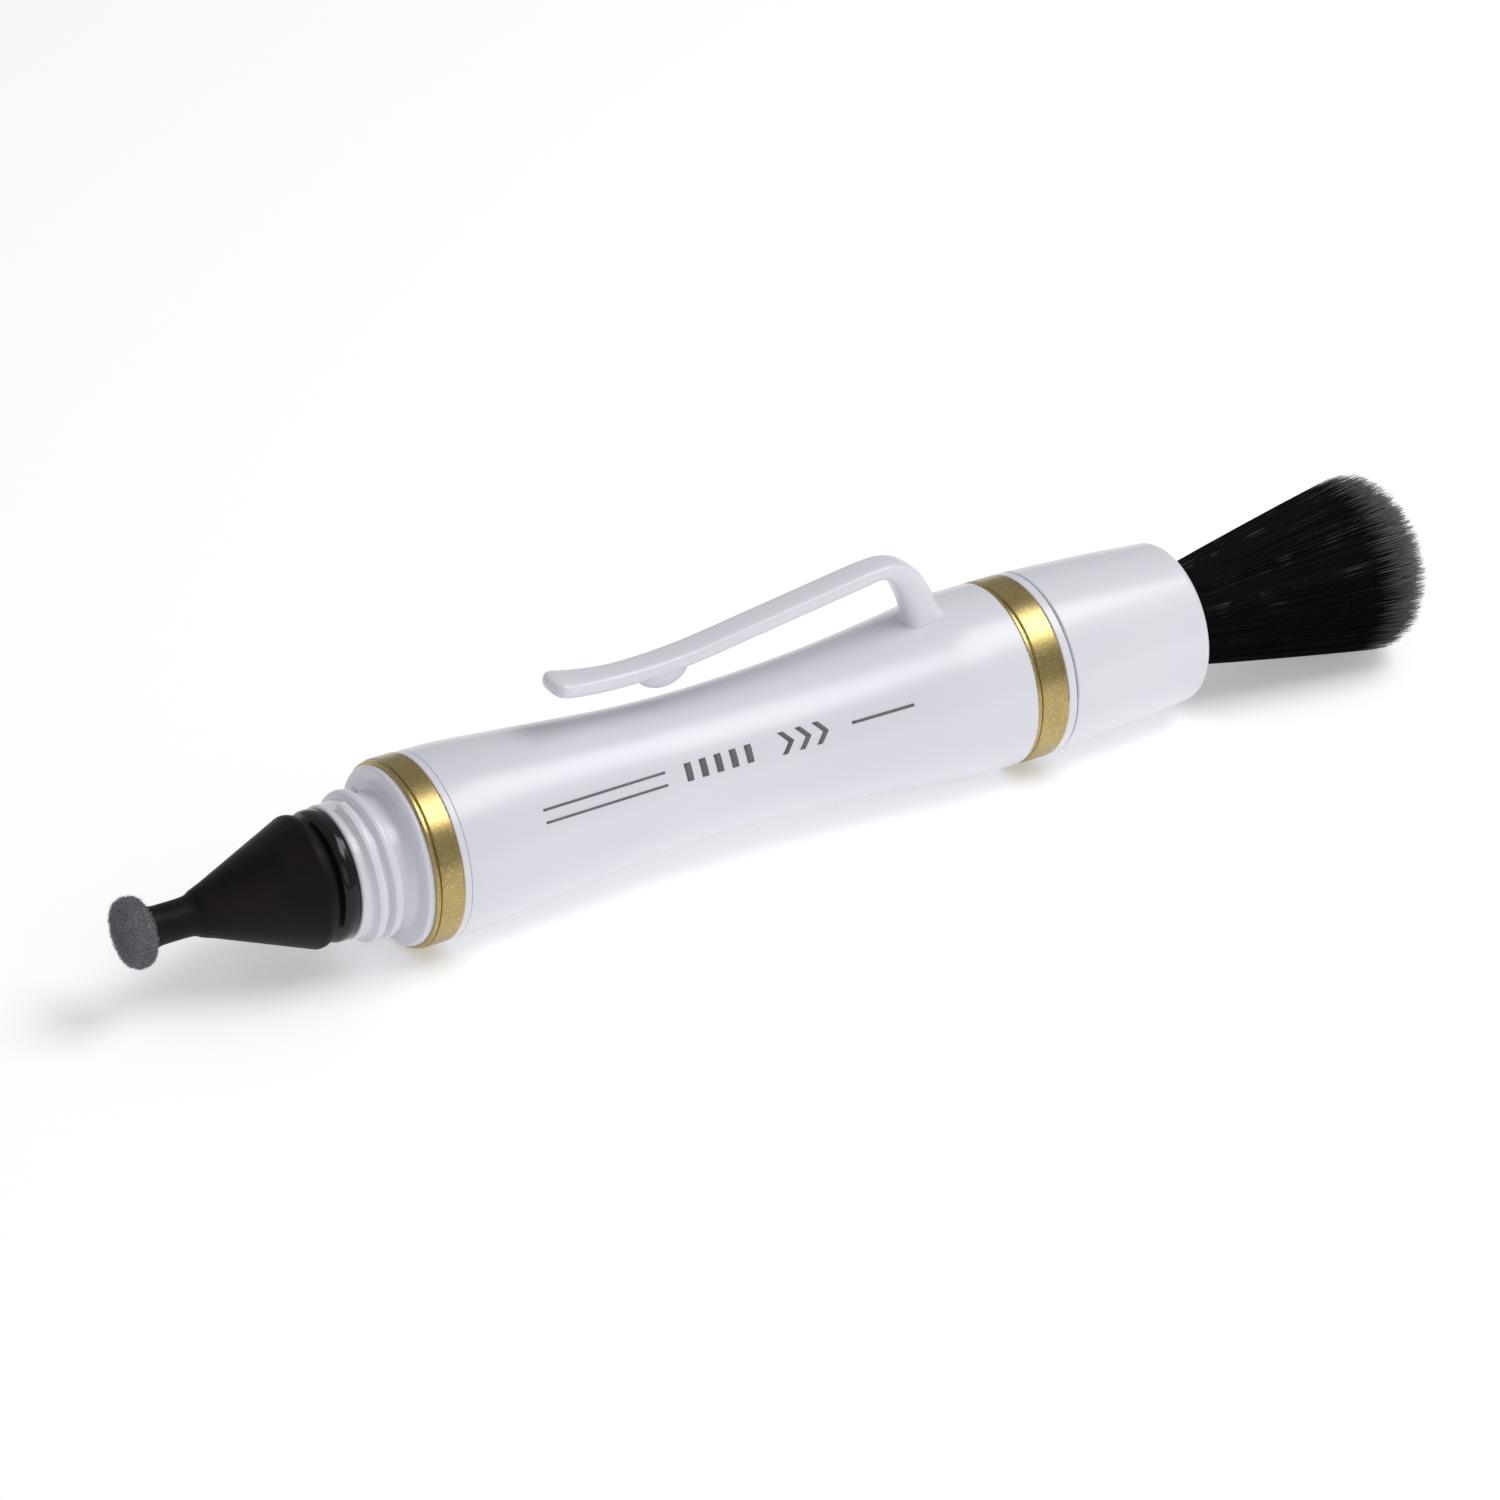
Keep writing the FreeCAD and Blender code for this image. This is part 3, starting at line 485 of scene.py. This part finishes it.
def makeBead():
    top = boxInMm("tip_holder")[1].y
    places = {"cone": boxInMm("tip_cone")[1].x, "nose": boxInMm("threaded_nose")[0].x}
    outline = smoothLine(outlineFrom(places, top, beadLook["line"]), beadLook["steps"])
    mesh = latheMesh("tip_bead", outline, beadLook["around"], closed=True)
    finishMesh(mesh)
    bead = placePiece("tip_bead", mesh, finishes["glossBlack"])
    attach(bead, "body")
    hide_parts("tip_holder")


makeBead()
print("tip ring made")


# cleaning pad: dished felt disc with a nap of short fibres

padLook = {"around": 96, "rings": 12, "inset": 0.08, "dish": 0.20, "dishPower": 1.6,
           "rim": 0.50, "rimPower": 0.8, "skirt": 0.22, "backInset": 0.1, "smoothBack": 0.1,
           "roughness": 0.03, "waves": 4.0, "ripples": 9.0, "rippleShare": 0.6,
           "fibresPerMm2": 200.0, "fibreLength": 0.26, "fibreRadius": 0.015, "seed": 11}


def startGeometryTree(name, inputs):
    tree = bpy.data.node_groups.new(name, "GeometryNodeTree")
    tree.interface.new_socket("Geometry", in_out="INPUT", socket_type="NodeSocketGeometry")
    for label, kind in inputs.items():
        tree.interface.new_socket(label, in_out="INPUT", socket_type="NodeSocket" + kind)
    tree.interface.new_socket("Geometry", in_out="OUTPUT", socket_type="NodeSocketGeometry")
    return tree, tree.nodes.new("NodeGroupInput").outputs, tree.nodes.new("NodeGroupOutput").inputs


def runTree(piece, tree, values):
    modifier = piece.modifiers.new("nodes", "NODES")
    modifier.node_group = tree
    names = {item.name: item.identifier for item in tree.interface.items_tree
             if item.in_out == "INPUT"}
    for label, value in values.items():
        modifier[names[label]] = value
    return evaluatedMesh(piece)


def makeNapTree():
    # short bent fibres, sown over the disc and leaning every way
    tree, entry, leave = startGeometryTree("feltNap", {
        "Density": "Float", "Length": "Float", "Thickness": "Float", "Seed": "Int",
        "Material": "Material"})
    spread = addNode(tree, "GeometryNodeDistributePointsOnFaces", {
        "Mesh": entry["Geometry"], "Density": entry["Density"], "Seed": entry["Seed"]})
    lean = addNode(tree, "FunctionNodeRandomValue", {
        "Min": (-1.0, -1.0, -1.0), "Max": (1.0, 1.0, 1.0), "Seed": entry["Seed"]},
        data_type="FLOAT_VECTOR")
    turned = addNode(tree, "FunctionNodeRotateRotation", {
        "Rotation": spread.outputs["Rotation"]}, rotation_space="LOCAL")
    euler = addNode(tree, "FunctionNodeEulerToRotation", {"Euler": lean.outputs["Value"]})
    tree.links.new(euler.outputs["Rotation"], turned.inputs["Rotate By"])
    line = addNode(tree, "GeometryNodeCurveQuadraticBezier", {
        "Resolution": 3, "Start": (0.0, 0.0, -0.15), "Middle": (0.35, 0.0, 0.5),
        "End": (-0.1, 0.25, 1.0)})
    # each fibre is between 0.5 and 1.2 of the stated length
    longness = addNode(tree, "FunctionNodeRandomValue", {"Seed": entry["Seed"]}, data_type="FLOAT")
    scale = calc(tree, "MULTIPLY", entry["Length"],
                 calc(tree, "ADD", calc(tree, "MULTIPLY", longness.outputs[1], 0.7), 0.5))
    sown = addNode(tree, "GeometryNodeInstanceOnPoints", {
        "Points": spread.outputs["Points"], "Instance": line.outputs["Curve"],
        "Rotation": turned.outputs["Rotation"], "Scale": scale})
    real = addNode(tree, "GeometryNodeRealizeInstances", {"Geometry": sown.outputs["Instances"]})
    ring = addNode(tree, "GeometryNodeCurvePrimitiveCircle", {
        "Resolution": 3, "Radius": entry["Thickness"]})
    tube = addNode(tree, "GeometryNodeCurveToMesh", {
        "Curve": real.outputs["Geometry"], "Profile Curve": ring.outputs["Curve"],
        "Fill Caps": True})
    both = tree.nodes.new("GeometryNodeJoinGeometry")
    tree.links.new(entry["Geometry"], both.inputs["Geometry"])
    tree.links.new(tube.outputs["Mesh"], both.inputs["Geometry"])
    whole = addNode(tree, "GeometryNodeRealizeInstances", {"Geometry": both.outputs["Geometry"]})
    dressed = addNode(tree, "GeometryNodeSetMaterial", {
        "Geometry": whole.outputs["Geometry"], "Material": entry["Material"]})
    tree.links.new(dressed.outputs["Geometry"], leave["Geometry"])
    return tree


def makePad():
    low, high = boxInMm("cleaning_pad")
    radius = high.y
    front, back = low.x + padLook["inset"], high.x + padLook["skirt"]
    thickness = back - front
    rim, rings = padLook["rim"], padLook["rings"]
    face = []
    for step in range(rings + 1):
        share = step / rings
        sunk = padLook["dish"] * (1 - share) ** padLook["dishPower"]
        face.append((front + sunk, (radius - rim) * share))
    edge = []
    middle = (front + back) / 2
    for step in range(1, rings + 1):
        angle = math.pi * step / rings
        edge.append((middle - thickness / 2 * math.cos(angle),
                     radius - rim + rim * math.sin(angle) ** padLook["rimPower"]))
    outline = face + edge + [(back, radius - rim - padLook["backInset"]), (back, 0.0)]
    mesh = latheMesh("felt_pad", outline, padLook["around"])
    for vert in mesh.vertices:
        shift = noise.noise(vert.co * padLook["waves"])
        shift += padLook["rippleShare"] * noise.noise(vert.co * padLook["ripples"])
        radial = Vector((0, vert.co.y, vert.co.z))
        offAxis = radial.length > 0.01
        if vert.co.x < back - padLook["smoothBack"] and offAxis:
            vert.co += radial.normalized() * shift * padLook["roughness"] * (radial.length / radius)
            vert.co.x += shift * padLook["roughness"]
    finishMesh(mesh)
    pad = placePiece("felt_pad", mesh, finishes["greyFelt"])
    runTree(pad, makeNapTree(), {
        "Density": padLook["fibresPerMm2"] / mm ** 2, "Length": padLook["fibreLength"] * mm,
        "Thickness": padLook["fibreRadius"] * mm, "Seed": padLook["seed"],
        "Material": finishes["greyFelt"]})
    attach(pad, "head")
    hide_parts("cleaning_pad")


makePad()
print("cleaning pad made")


# pocket clip: arm, bend and leg as one smooth moulding

clipLook = {
    "around": 32, "square": 3.2, "voxel": 0.075, "smoothing": 6,
    "blendBack": 1.0, "blendFront": 1.0,
    # the arm: its slope in degrees, its lowest place before the hinge and its two curves
    "slope": 8.6, "lowAhead": 17.8, "endCurve": 24.0, "wideCurve": 40.0,
    # its section: half thickness and half width, rounded end, wider paddle at the free end
    "half": 0.55, "side": 1.1, "fuller": 0.04, "stations": 40, "crowding": 1.3,
    "tipGap": 0.02, "hingeGap": 0.3, "endRound": 0.85, "endThin": 0.7, "endNarrow": 0.85,
    "paddle": 0.34, "paddleRun": 5.5,
    # the gripping bump: place before the hinge, drop below the arm, half lengths
    "bumpAhead": 15.45, "bumpDrop": 0.13, "bumpForm": (2.05, 1.0, 1.62), "bumpTop": 0.3,
    # bend and leg, from the hinge: outer place and height, inner place and height, extra width
    "bend": [
        (0.8, 0.62, 0.8, -0.46, 0.0),
        (1.8, 0.60, 1.35, -0.58, 0.0),
        (2.9, 0.24, 1.85, -0.95, 0.0),
        (3.9, -0.52, 2.25, -1.50, 0.0),
        (4.6, -1.45, 2.60, -2.20, 0.0),
        (5.1, -2.50, 2.92, -3.00, 0.0),
        (5.5, -3.45, 3.15, -3.80, 0.03),
        (6.0, -4.22, 3.20, -4.45, 0.10),
        (6.5, -4.90, 3.10, -5.10, 0.20),
    ],
}


def armLine():
    # centre of the arm: upswept end, then a wide curve, then straight to the hinge
    hinge = pivotInMm("clip_flex")
    slope = math.radians(clipLook["slope"])
    lowPlace = hinge.x - clipLook["lowAhead"]
    endCurve, wideCurve = clipLook["endCurve"], clipLook["wideCurve"]
    straightPlace = lowPlace + wideCurve * math.sin(slope)
    straightHeight = hinge.z - (hinge.x - straightPlace) * math.tan(slope)
    lowHeight = straightHeight - wideCurve * (1 - math.cos(slope))
    tipPlace = boxInMm("clip_arm")[0].x

    def height(place):
        if place > straightPlace:
            return hinge.z - (hinge.x - place) * math.tan(slope)
        if place > lowPlace:
            away = place - lowPlace
            return lowHeight + wideCurve - math.sqrt(wideCurve ** 2 - away ** 2)
        away = lowPlace - place
        return lowHeight + endCurve - math.sqrt(endCurve ** 2 - away ** 2)
    return tipPlace, hinge, height


def makeClip():
    tipPlace, hinge, height = armLine()
    side = clipLook["side"]
    stations = []  # upper point, lower point, half width
    count = clipLook["stations"]
    run = hinge.x - clipLook["hingeGap"] - tipPlace
    probe = 0.05  # how far each side the arm's slope is read
    for step in range(count):
        share = (step / (count - 1)) ** clipLook["crowding"]
        place = tipPlace + clipLook["tipGap"] + run * share
        lean = math.atan((height(place + probe) - height(place - probe)) / (2 * probe))
        centre = height(place)
        near = min((place - tipPlace) / clipLook["endRound"], 1.0)
        fullness = math.sqrt(1 - (1 - near) ** 2)  # small at the free end, 1 past its rounding
        deep = (clipLook["half"] + clipLook["fuller"]) * fullness ** clipLook["endThin"]
        spread = max(0.0, 1 - (place - tipPlace) / clipLook["paddleRun"])
        wide = side + clipLook["paddle"] * spread * spread * (3 - 2 * spread)
        stations.append((
            place - deep * math.sin(lean), centre + deep * math.cos(lean),
            place + deep * math.sin(lean), centre - deep * math.cos(lean),
            wide * fullness ** clipLook["endNarrow"]))
    x, z = hinge.x, hinge.z
    bend = [(x + outX, z + outZ, x + inX, z + inZ, side + extra)
            for outX, outZ, inX, inZ, extra in clipLook["bend"]]
    rows = stations + smoothLine([stations[-1]] + bend, 5)[1:]
    around = clipLook["around"]
    power = 2 / clipLook["square"]
    verts = []
    for upX, upZ, lowX, lowZ, wide in rows:
        middle = Vector(((upX + lowX) / 2, 0, (upZ + lowZ) / 2))
        rise = Vector(((upX - lowX) / 2, 0, (upZ - lowZ) / 2))
        for turn in range(around):
            angle = 2 * math.pi * turn / around
            c, s = math.cos(angle), math.sin(angle)
            across = math.copysign(abs(c) ** power, c) * wide
            up = math.copysign(abs(s) ** power, s)
            verts.append(middle + rise * up + Vector((0, across, 0)))
    mesh = meshInMm("clip_skin", verts, ringFaces(len(rows), around, True))
    work = bmesh.new()
    work.from_mesh(mesh)
    bmesh.ops.recalc_face_normals(work, faces=work.faces)
    # the gripping bump under the arm, cut flat inside it
    bumpPlace = hinge.x - clipLook["bumpAhead"]
    bumpHeight = height(hinge.x - clipLook["lowAhead"]) - clipLook["bumpDrop"]
    bumpForm = (Matrix.Translation((bumpPlace, 0, bumpHeight))
                @ Matrix.Diagonal((*clipLook["bumpForm"], 1)))
    ball = bmesh.ops.create_uvsphere(work, u_segments=32, v_segments=20, radius=1.0,
                                     matrix=bumpForm)
    top = height(bumpPlace) + clipLook["bumpTop"]
    for vert in ball["verts"]:
        if vert.co.z > top:
            vert.co.z = top
    work.to_mesh(mesh)
    work.free()
    skin = placePiece("clip_skin", mesh, finishes["whitePlastic"])
    remesh = skin.modifiers.new("remesh", "REMESH")
    remesh.mode = "VOXEL"
    remesh.voxel_size = clipLook["voxel"]
    relax = skin.modifiers.new("relax", "SMOOTH")
    relax.iterations = clipLook["smoothing"]
    relax.factor = 0.5
    made = evaluatedMesh(skin)
    finishMesh(made, merge=0.0001)
    made.materials.clear()
    made.materials.append(finishes["whitePlastic"])
    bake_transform(skin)
    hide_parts("clip_arm", "clip_post")


makeClip()
print("pocket clip made")


# brush: a flared bundle in radial sectors

brushLook = {
    "sectors": 14, "strands": 1150, "points": 7, "rootRadius": 2.70, "domeRun": 4.2,
    "strandRadius": 0.040, "frayed": 0.95, "keep": 0.49, "seed": 5, "seedStep": 17,
    # how the bundle opens past the ferrule, and how each strand sways and thins
    "openPower": 0.92, "openMost": 1.03, "domeEdge": 1.02, "sway": 0.045,
    "taperFrom": 0.86, "tipShare": 0.22,
}


def makeStrandTree():
    # one sector of hair: straight in the ferrule, then opening, with a domed and frayed end
    tree, entry, leave = startGeometryTree("brushStrands", {
        "Strands": "Int", "Root": "Float", "Mouth": "Float", "Flare": "Float", "Dome": "Float",
        "Root Radius": "Float", "Flare Radius": "Float", "Turn": "Float", "Sweep": "Float",
        "Thickness": "Float", "Fray": "Float", "Seed": "Int", "Material": "Material"})
    points = addNode(tree, "GeometryNodePoints", {"Count": entry["Strands"]})
    geometry = points.outputs["Geometry"]

    def chance(offset, low=0.0, high=1.0):
        seed = calc(tree, "ADD", entry["Seed"], float(offset))
        node = addNode(tree, "FunctionNodeRandomValue", {2: low, 3: high, "Seed": seed},
                       data_type="FLOAT")
        return node.outputs[1]

    def store(geometry, label, value):
        node = addNode(tree, "GeometryNodeStoreNamedAttribute", {
            "Geometry": geometry, "Name": label, "Value": value},
            data_type="FLOAT", domain="POINT")
        return node.outputs["Geometry"]

    def recall(label):
        node = addNode(tree, "GeometryNodeInputNamedAttribute", {"Name": label}, data_type="FLOAT")
        return node.outputs["Attribute"]

    geometry = store(geometry, "share", calc(tree, "SQRT", chance(1)))
    turn = calc(tree, "ADD", entry["Turn"], calc(tree, "MULTIPLY", chance(2), entry["Sweep"]))
    geometry = store(geometry, "turn", turn)
    geometry = store(geometry, "cut", chance(3, -1.0, 1.0))
    geometry = store(geometry, "strandTint", chance(4))
    geometry = store(geometry, "sway", chance(5, -1.0, 1.0))
    line = addNode(tree, "GeometryNodeCurvePrimitiveLine", {"End": (1.0, 0.0, 0.0)})
    divided = addNode(tree, "GeometryNodeResampleCurve", {
        "Curve": line.outputs["Curve"], "Count": brushLook["points"]})
    planted = addNode(tree, "GeometryNodeInstanceOnPoints", {
        "Points": geometry, "Instance": divided.outputs["Curve"]})
    real = addNode(tree, "GeometryNodeRealizeInstances", {"Geometry": planted.outputs["Instances"]})
    place = addNode(tree, "ShaderNodeSeparateXYZ", {
        "Vector": tree.nodes.new("GeometryNodeInputPosition").outputs["Position"]})
    along = place.outputs["X"]
    geometry = store(real.outputs["Geometry"], "alongStrand", along)
    share, turn = recall("share"), recall("turn")
    dome = calc(tree, "SQRT", calc(
        tree, "SUBTRACT", brushLook["domeEdge"], calc(tree, "MULTIPLY", share, share)))
    domeRun = calc(tree, "SUBTRACT", entry["Dome"], entry["Flare"])
    end = calc(tree, "ADD", entry["Flare"], calc(tree, "MULTIPLY", dome, domeRun))
    end = calc(tree, "ADD", end, calc(tree, "MULTIPLY", recall("cut"), entry["Fray"]))
    span = calc(tree, "SUBTRACT", end, entry["Root"])
    reach = calc(tree, "ADD", entry["Root"], calc(tree, "MULTIPLY", along, span))
    past = calc(tree, "MAXIMUM", calc(tree, "SUBTRACT", reach, entry["Mouth"]), 0.0)
    flareRun = calc(tree, "SUBTRACT", entry["Flare"], entry["Mouth"])
    opened = calc(tree, "POWER", calc(tree, "DIVIDE", past, flareRun), brushLook["openPower"])
    opened = calc(tree, "MINIMUM", opened, brushLook["openMost"])
    widening = calc(tree, "SUBTRACT", entry["Flare Radius"], entry["Root Radius"])
    outer = calc(tree, "ADD", entry["Root Radius"], calc(tree, "MULTIPLY", opened, widening))
    radius = calc(tree, "MULTIPLY", share, outer)
    bow = calc(tree, "MULTIPLY", opened, recall("sway"))
    bow = calc(tree, "MULTIPLY", bow, brushLook["sway"])
    angle = calc(tree, "ADD", turn, bow)
    side = calc(tree, "MULTIPLY", radius, calc(tree, "SINE", angle))
    up = calc(tree, "MULTIPLY", radius, calc(tree, "COSINE", angle))
    spot = addNode(tree, "ShaderNodeCombineXYZ", {"X": reach, "Y": side, "Z": up})
    bent = addNode(tree, "GeometryNodeSetPosition", {
        "Geometry": geometry, "Position": spot.outputs["Vector"]})
    taper = addNode(tree, "ShaderNodeMapRange", {
        "Value": recall("alongStrand"), "From Min": brushLook["taperFrom"], "From Max": 1.0,
        "To Min": 1.0, "To Max": brushLook["tipShare"]})
    ring = addNode(tree, "GeometryNodeCurvePrimitiveCircle", {
        "Resolution": 3, "Radius": entry["Thickness"]})
    tube = addNode(tree, "GeometryNodeCurveToMesh", {
        "Curve": bent.outputs["Geometry"], "Profile Curve": ring.outputs["Curve"],
        "Scale": taper.outputs["Result"], "Fill Caps": True})
    whole = addNode(tree, "GeometryNodeRealizeInstances", {"Geometry": tube.outputs["Mesh"]})
    dressed = addNode(tree, "GeometryNodeSetMaterial", {
        "Geometry": whole.outputs["Geometry"], "Material": entry["Material"]})
    tree.links.new(dressed.outputs["Geometry"], leave["Geometry"])
    return tree


def makeBrush():
    low, high = boxInMm("bristles")
    ferruleEnd = boxInMm("ferrule")[1].x
    tree = makeStrandTree()
    sweep = 2 * math.pi / brushLook["sectors"]
    for sector in range(brushLook["sectors"]):
        name = f"brush_hair_{sector:02d}"
        piece = placePiece(name, bpy.data.meshes.new(name), finishes["blackHair"])
        turn = sector * sweep
        made = runTree(piece, tree, {
            "Strands": brushLook["strands"], "Root": low.x * mm, "Mouth": ferruleEnd * mm,
            "Flare": (high.x - brushLook["domeRun"]) * mm,
            "Dome": (high.x - brushLook["frayed"]) * mm,
            "Root Radius": brushLook["rootRadius"] * mm, "Flare Radius": high.y * mm,
            "Turn": turn, "Sweep": sweep, "Thickness": brushLook["strandRadius"] * mm,
            "Fray": brushLook["frayed"] * mm,
            "Seed": brushLook["seed"] + sector * brushLook["seedStep"],
            "Material": finishes["blackHair"]})
        made.name = name
        for polygon in made.polygons:
            polygon.use_smooth = True
        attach(piece, "body")
        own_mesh(piece)
        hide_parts("bristles")


makeBrush()
print("brush made")


# printed mark: plain dashes and chevrons that point the way the sleeve slides

markLook = {
    "from": 9.0, "to": 37.2, "turn": -61.0, "line": 0.16, "tall": 1.5, "proud": 0.02,
    "thick": 0.012, "grid": 0.35, "castFrom": 12.0,
    # from the front: two long lines, then ticks, chevrons and one short line
    "pairLength": 9.5, "pairShift": 0.28,
    "ticks": 5, "tickAt": 11.0, "tickEnd": 11.5, "tickStep": 1.15, "tickTall": 0.8,
    "chevrons": 3, "chevronAt": 18.2, "chevronStep": 1.3, "chevronWide": 0.42, "lead": 0.42,
    "lastLength": 4.6, "lastLine": 1.2,
}


def makeMark():
    barrel = nodes["barrel"].data
    tree = BVHTree.FromPolygons([vert.co / mm for vert in barrel.vertices],
                                [tuple(face.vertices) for face in barrel.polygons])
    verts, faces = [], []

    def wallAt(place, angle):
        # the barrel's outside, met from well outside it
        outwards = Vector((0, math.sin(angle), math.cos(angle)))
        start = Vector((place, 0, 0)) + outwards * markLook["castFrom"]
        return tree.ray_cast(start, -outwards)[0], outwards

    def onBarrel(place, across):
        # the turn depends on the radius there, so it is found in two steps
        middle = angle = math.radians(markLook["turn"])
        for _ in range(2):
            hit, outwards = wallAt(place, angle)
            angle = middle + across / math.hypot(hit.y, hit.z)
        hit, outwards = wallAt(place, angle)
        return hit + outwards * markLook["proud"]

    def patch(corners):
        # four (along, across) corners, filled with a grid that follows the barrel
        a, b, c, d = [Vector(corner) for corner in corners]
        longWays = max(1, round((b - a).length / markLook["grid"]))
        crossWays = max(1, round((d - a).length / markLook["grid"]))
        first = len(verts)
        for row in range(crossWays + 1):
            for column in range(longWays + 1):
                u, v = column / longWays, row / crossWays
                spot = (a * (1 - u) + b * u) * (1 - v) + (d * (1 - u) + c * u) * v
                verts.append(onBarrel(spot.x, spot.y))
        for row in range(crossWays):
            for column in range(longWays):
                corner = first + row * (longWays + 1) + column
                faces.append((corner, corner + 1, corner + longWays + 2, corner + longWays + 1))

    def bar(start, stop, across, wide):
        patch([(start, across - wide / 2), (stop, across - wide / 2),
               (stop, across + wide / 2), (start, across + wide / 2)])

    def chevron(place, tall, wide):
        lead = tall * markLook["lead"]
        for way in (-1, 1):
            patch([(place, way * tall / 2), (place + wide, way * tall / 2),
                   (place + wide + lead, 0), (place + lead, 0)])

    look = markLook
    start, stop, line, tall = look["from"], look["to"], look["line"], look["tall"]
    for side in (-1, 1):
        bar(start, start + look["pairLength"], side * tall * look["pairShift"], line)
    for count in range(look["ticks"]):
        step = count * look["tickStep"]
        bar(start + look["tickAt"] + step, start + look["tickEnd"] + step, 0,
            tall * look["tickTall"])
    for count in range(look["chevrons"]):
        chevron(start + look["chevronAt"] + count * look["chevronStep"], tall,
                look["chevronWide"])
    bar(stop - look["lastLength"], stop, 0, line * look["lastLine"])
    mesh = meshInMm("printed_mark", verts, faces)
    mark = placePiece("printed_mark", mesh, finishes["greyInk"])
    solid = mark.modifiers.new("thickness", "SOLIDIFY")
    solid.thickness = markLook["thick"]
    solid.offset = 0
    made = evaluatedMesh(mark)
    finishMesh(made, merge=0.0001)
    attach(mark, "body")


makeMark()
print("printed mark made")


# floor, light and camera

studioLook = {
    "floorSize": 3.0, "floorColour": (0.93, 0.93, 0.935), "floorRoughness": 0.85,
    "floorSpecular": 0.1, "floorGlow": 0.30,
    "worldColour": (0.94, 0.95, 1.0), "worldStrength": 0.42,
}
lights = {
    # name: (place, aim, width, height, watts), in metres
    "overheadSoftbox": ((0.215, -0.115, 0.36), (0.03, 0, 0), 0.30, 0.16, 0.80),
    "frontFill": ((-0.10, -0.50, 0.22), (0.03, 0, 0), 0.40, 0.30, 0.32),
    "endFill": ((0.42, -0.10, 0.25), (0.04, 0, 0), 0.25, 0.25, 0.14),
}


def makeStudio():
    low = cadBox[0].z
    half = studioLook["floorSize"] / 2
    mesh = bpy.data.meshes.new("floor")
    mesh.from_pydata([(-half, -half, low), (half, -half, low), (half, half, low),
                      (-half, half, low)], [], [(0, 1, 2, 3)])
    material = bpy.data.materials.new("palePaper")
    material.use_nodes = True
    shader = material.node_tree.nodes["Principled BSDF"]
    shader.inputs["Base Color"].default_value = (*studioLook["floorColour"], 1)
    shader.inputs["Roughness"].default_value = studioLook["floorRoughness"]
    shader.inputs["Specular IOR Level"].default_value = studioLook["floorSpecular"]
    shader.inputs["Emission Color"].default_value = (1, 1, 1, 1)
    shader.inputs["Emission Strength"].default_value = studioLook["floorGlow"]
    mesh.materials.append(material)
    floor = bpy.data.objects.new("floor", mesh)
    bpy.context.scene.collection.objects.link(floor)
    for name, (place, aim, wide, tall, watts) in lights.items():
        lamp = bpy.data.lights.new(name, "AREA")
        lamp.shape = "RECTANGLE"
        lamp.size, lamp.size_y, lamp.energy = wide, tall, watts
        holder = bpy.data.objects.new(name, lamp)
        holder.location = place
        holder.rotation_mode = "QUATERNION"
        holder.rotation_quaternion = (Vector(aim) - Vector(place)).to_track_quat("-Z", "Y")
        bpy.context.scene.collection.objects.link(holder)
    world = bpy.data.worlds.new("studioAir")
    world.use_nodes = True
    sky = world.node_tree.nodes["Background"]
    sky.inputs["Color"].default_value = (*studioLook["worldColour"], 1)
    sky.inputs["Strength"].default_value = studioLook["worldStrength"]
    bpy.context.scene.world = world
    bpy.context.scene.view_settings.view_transform = "Standard"


cameraLook = {
    # target and distance in shape millimetres, angles in degrees, clip range in metres
    "target": (27.52, 0.0, -0.28), "distance": 463.8, "azimuth": -31.1, "elevation": 30.1,
    "lens": 168.0, "sensor": 36.0, "clip": (0.01, 20.0),
}


def makeCamera():
    turn = math.radians(cameraLook["azimuth"])
    rise = math.radians(cameraLook["elevation"])
    back = Vector((math.sin(turn) * math.cos(rise), -math.cos(turn) * math.cos(rise),
                   math.sin(rise)))
    data = bpy.data.cameras.new("camera")
    data.lens, data.sensor_width = cameraLook["lens"], cameraLook["sensor"]
    data.clip_start, data.clip_end = cameraLook["clip"]
    camera = bpy.data.objects.new("camera", data)
    camera.location = (Vector(cameraLook["target"]) + back * cameraLook["distance"]) * mm
    camera.rotation_mode = "QUATERNION"
    camera.rotation_quaternion = (-back).to_track_quat("-Z", "Y")
    bpy.context.scene.collection.objects.link(camera)
    bpy.context.scene.camera = camera


makeStudio()
makeCamera()
print("studio made")
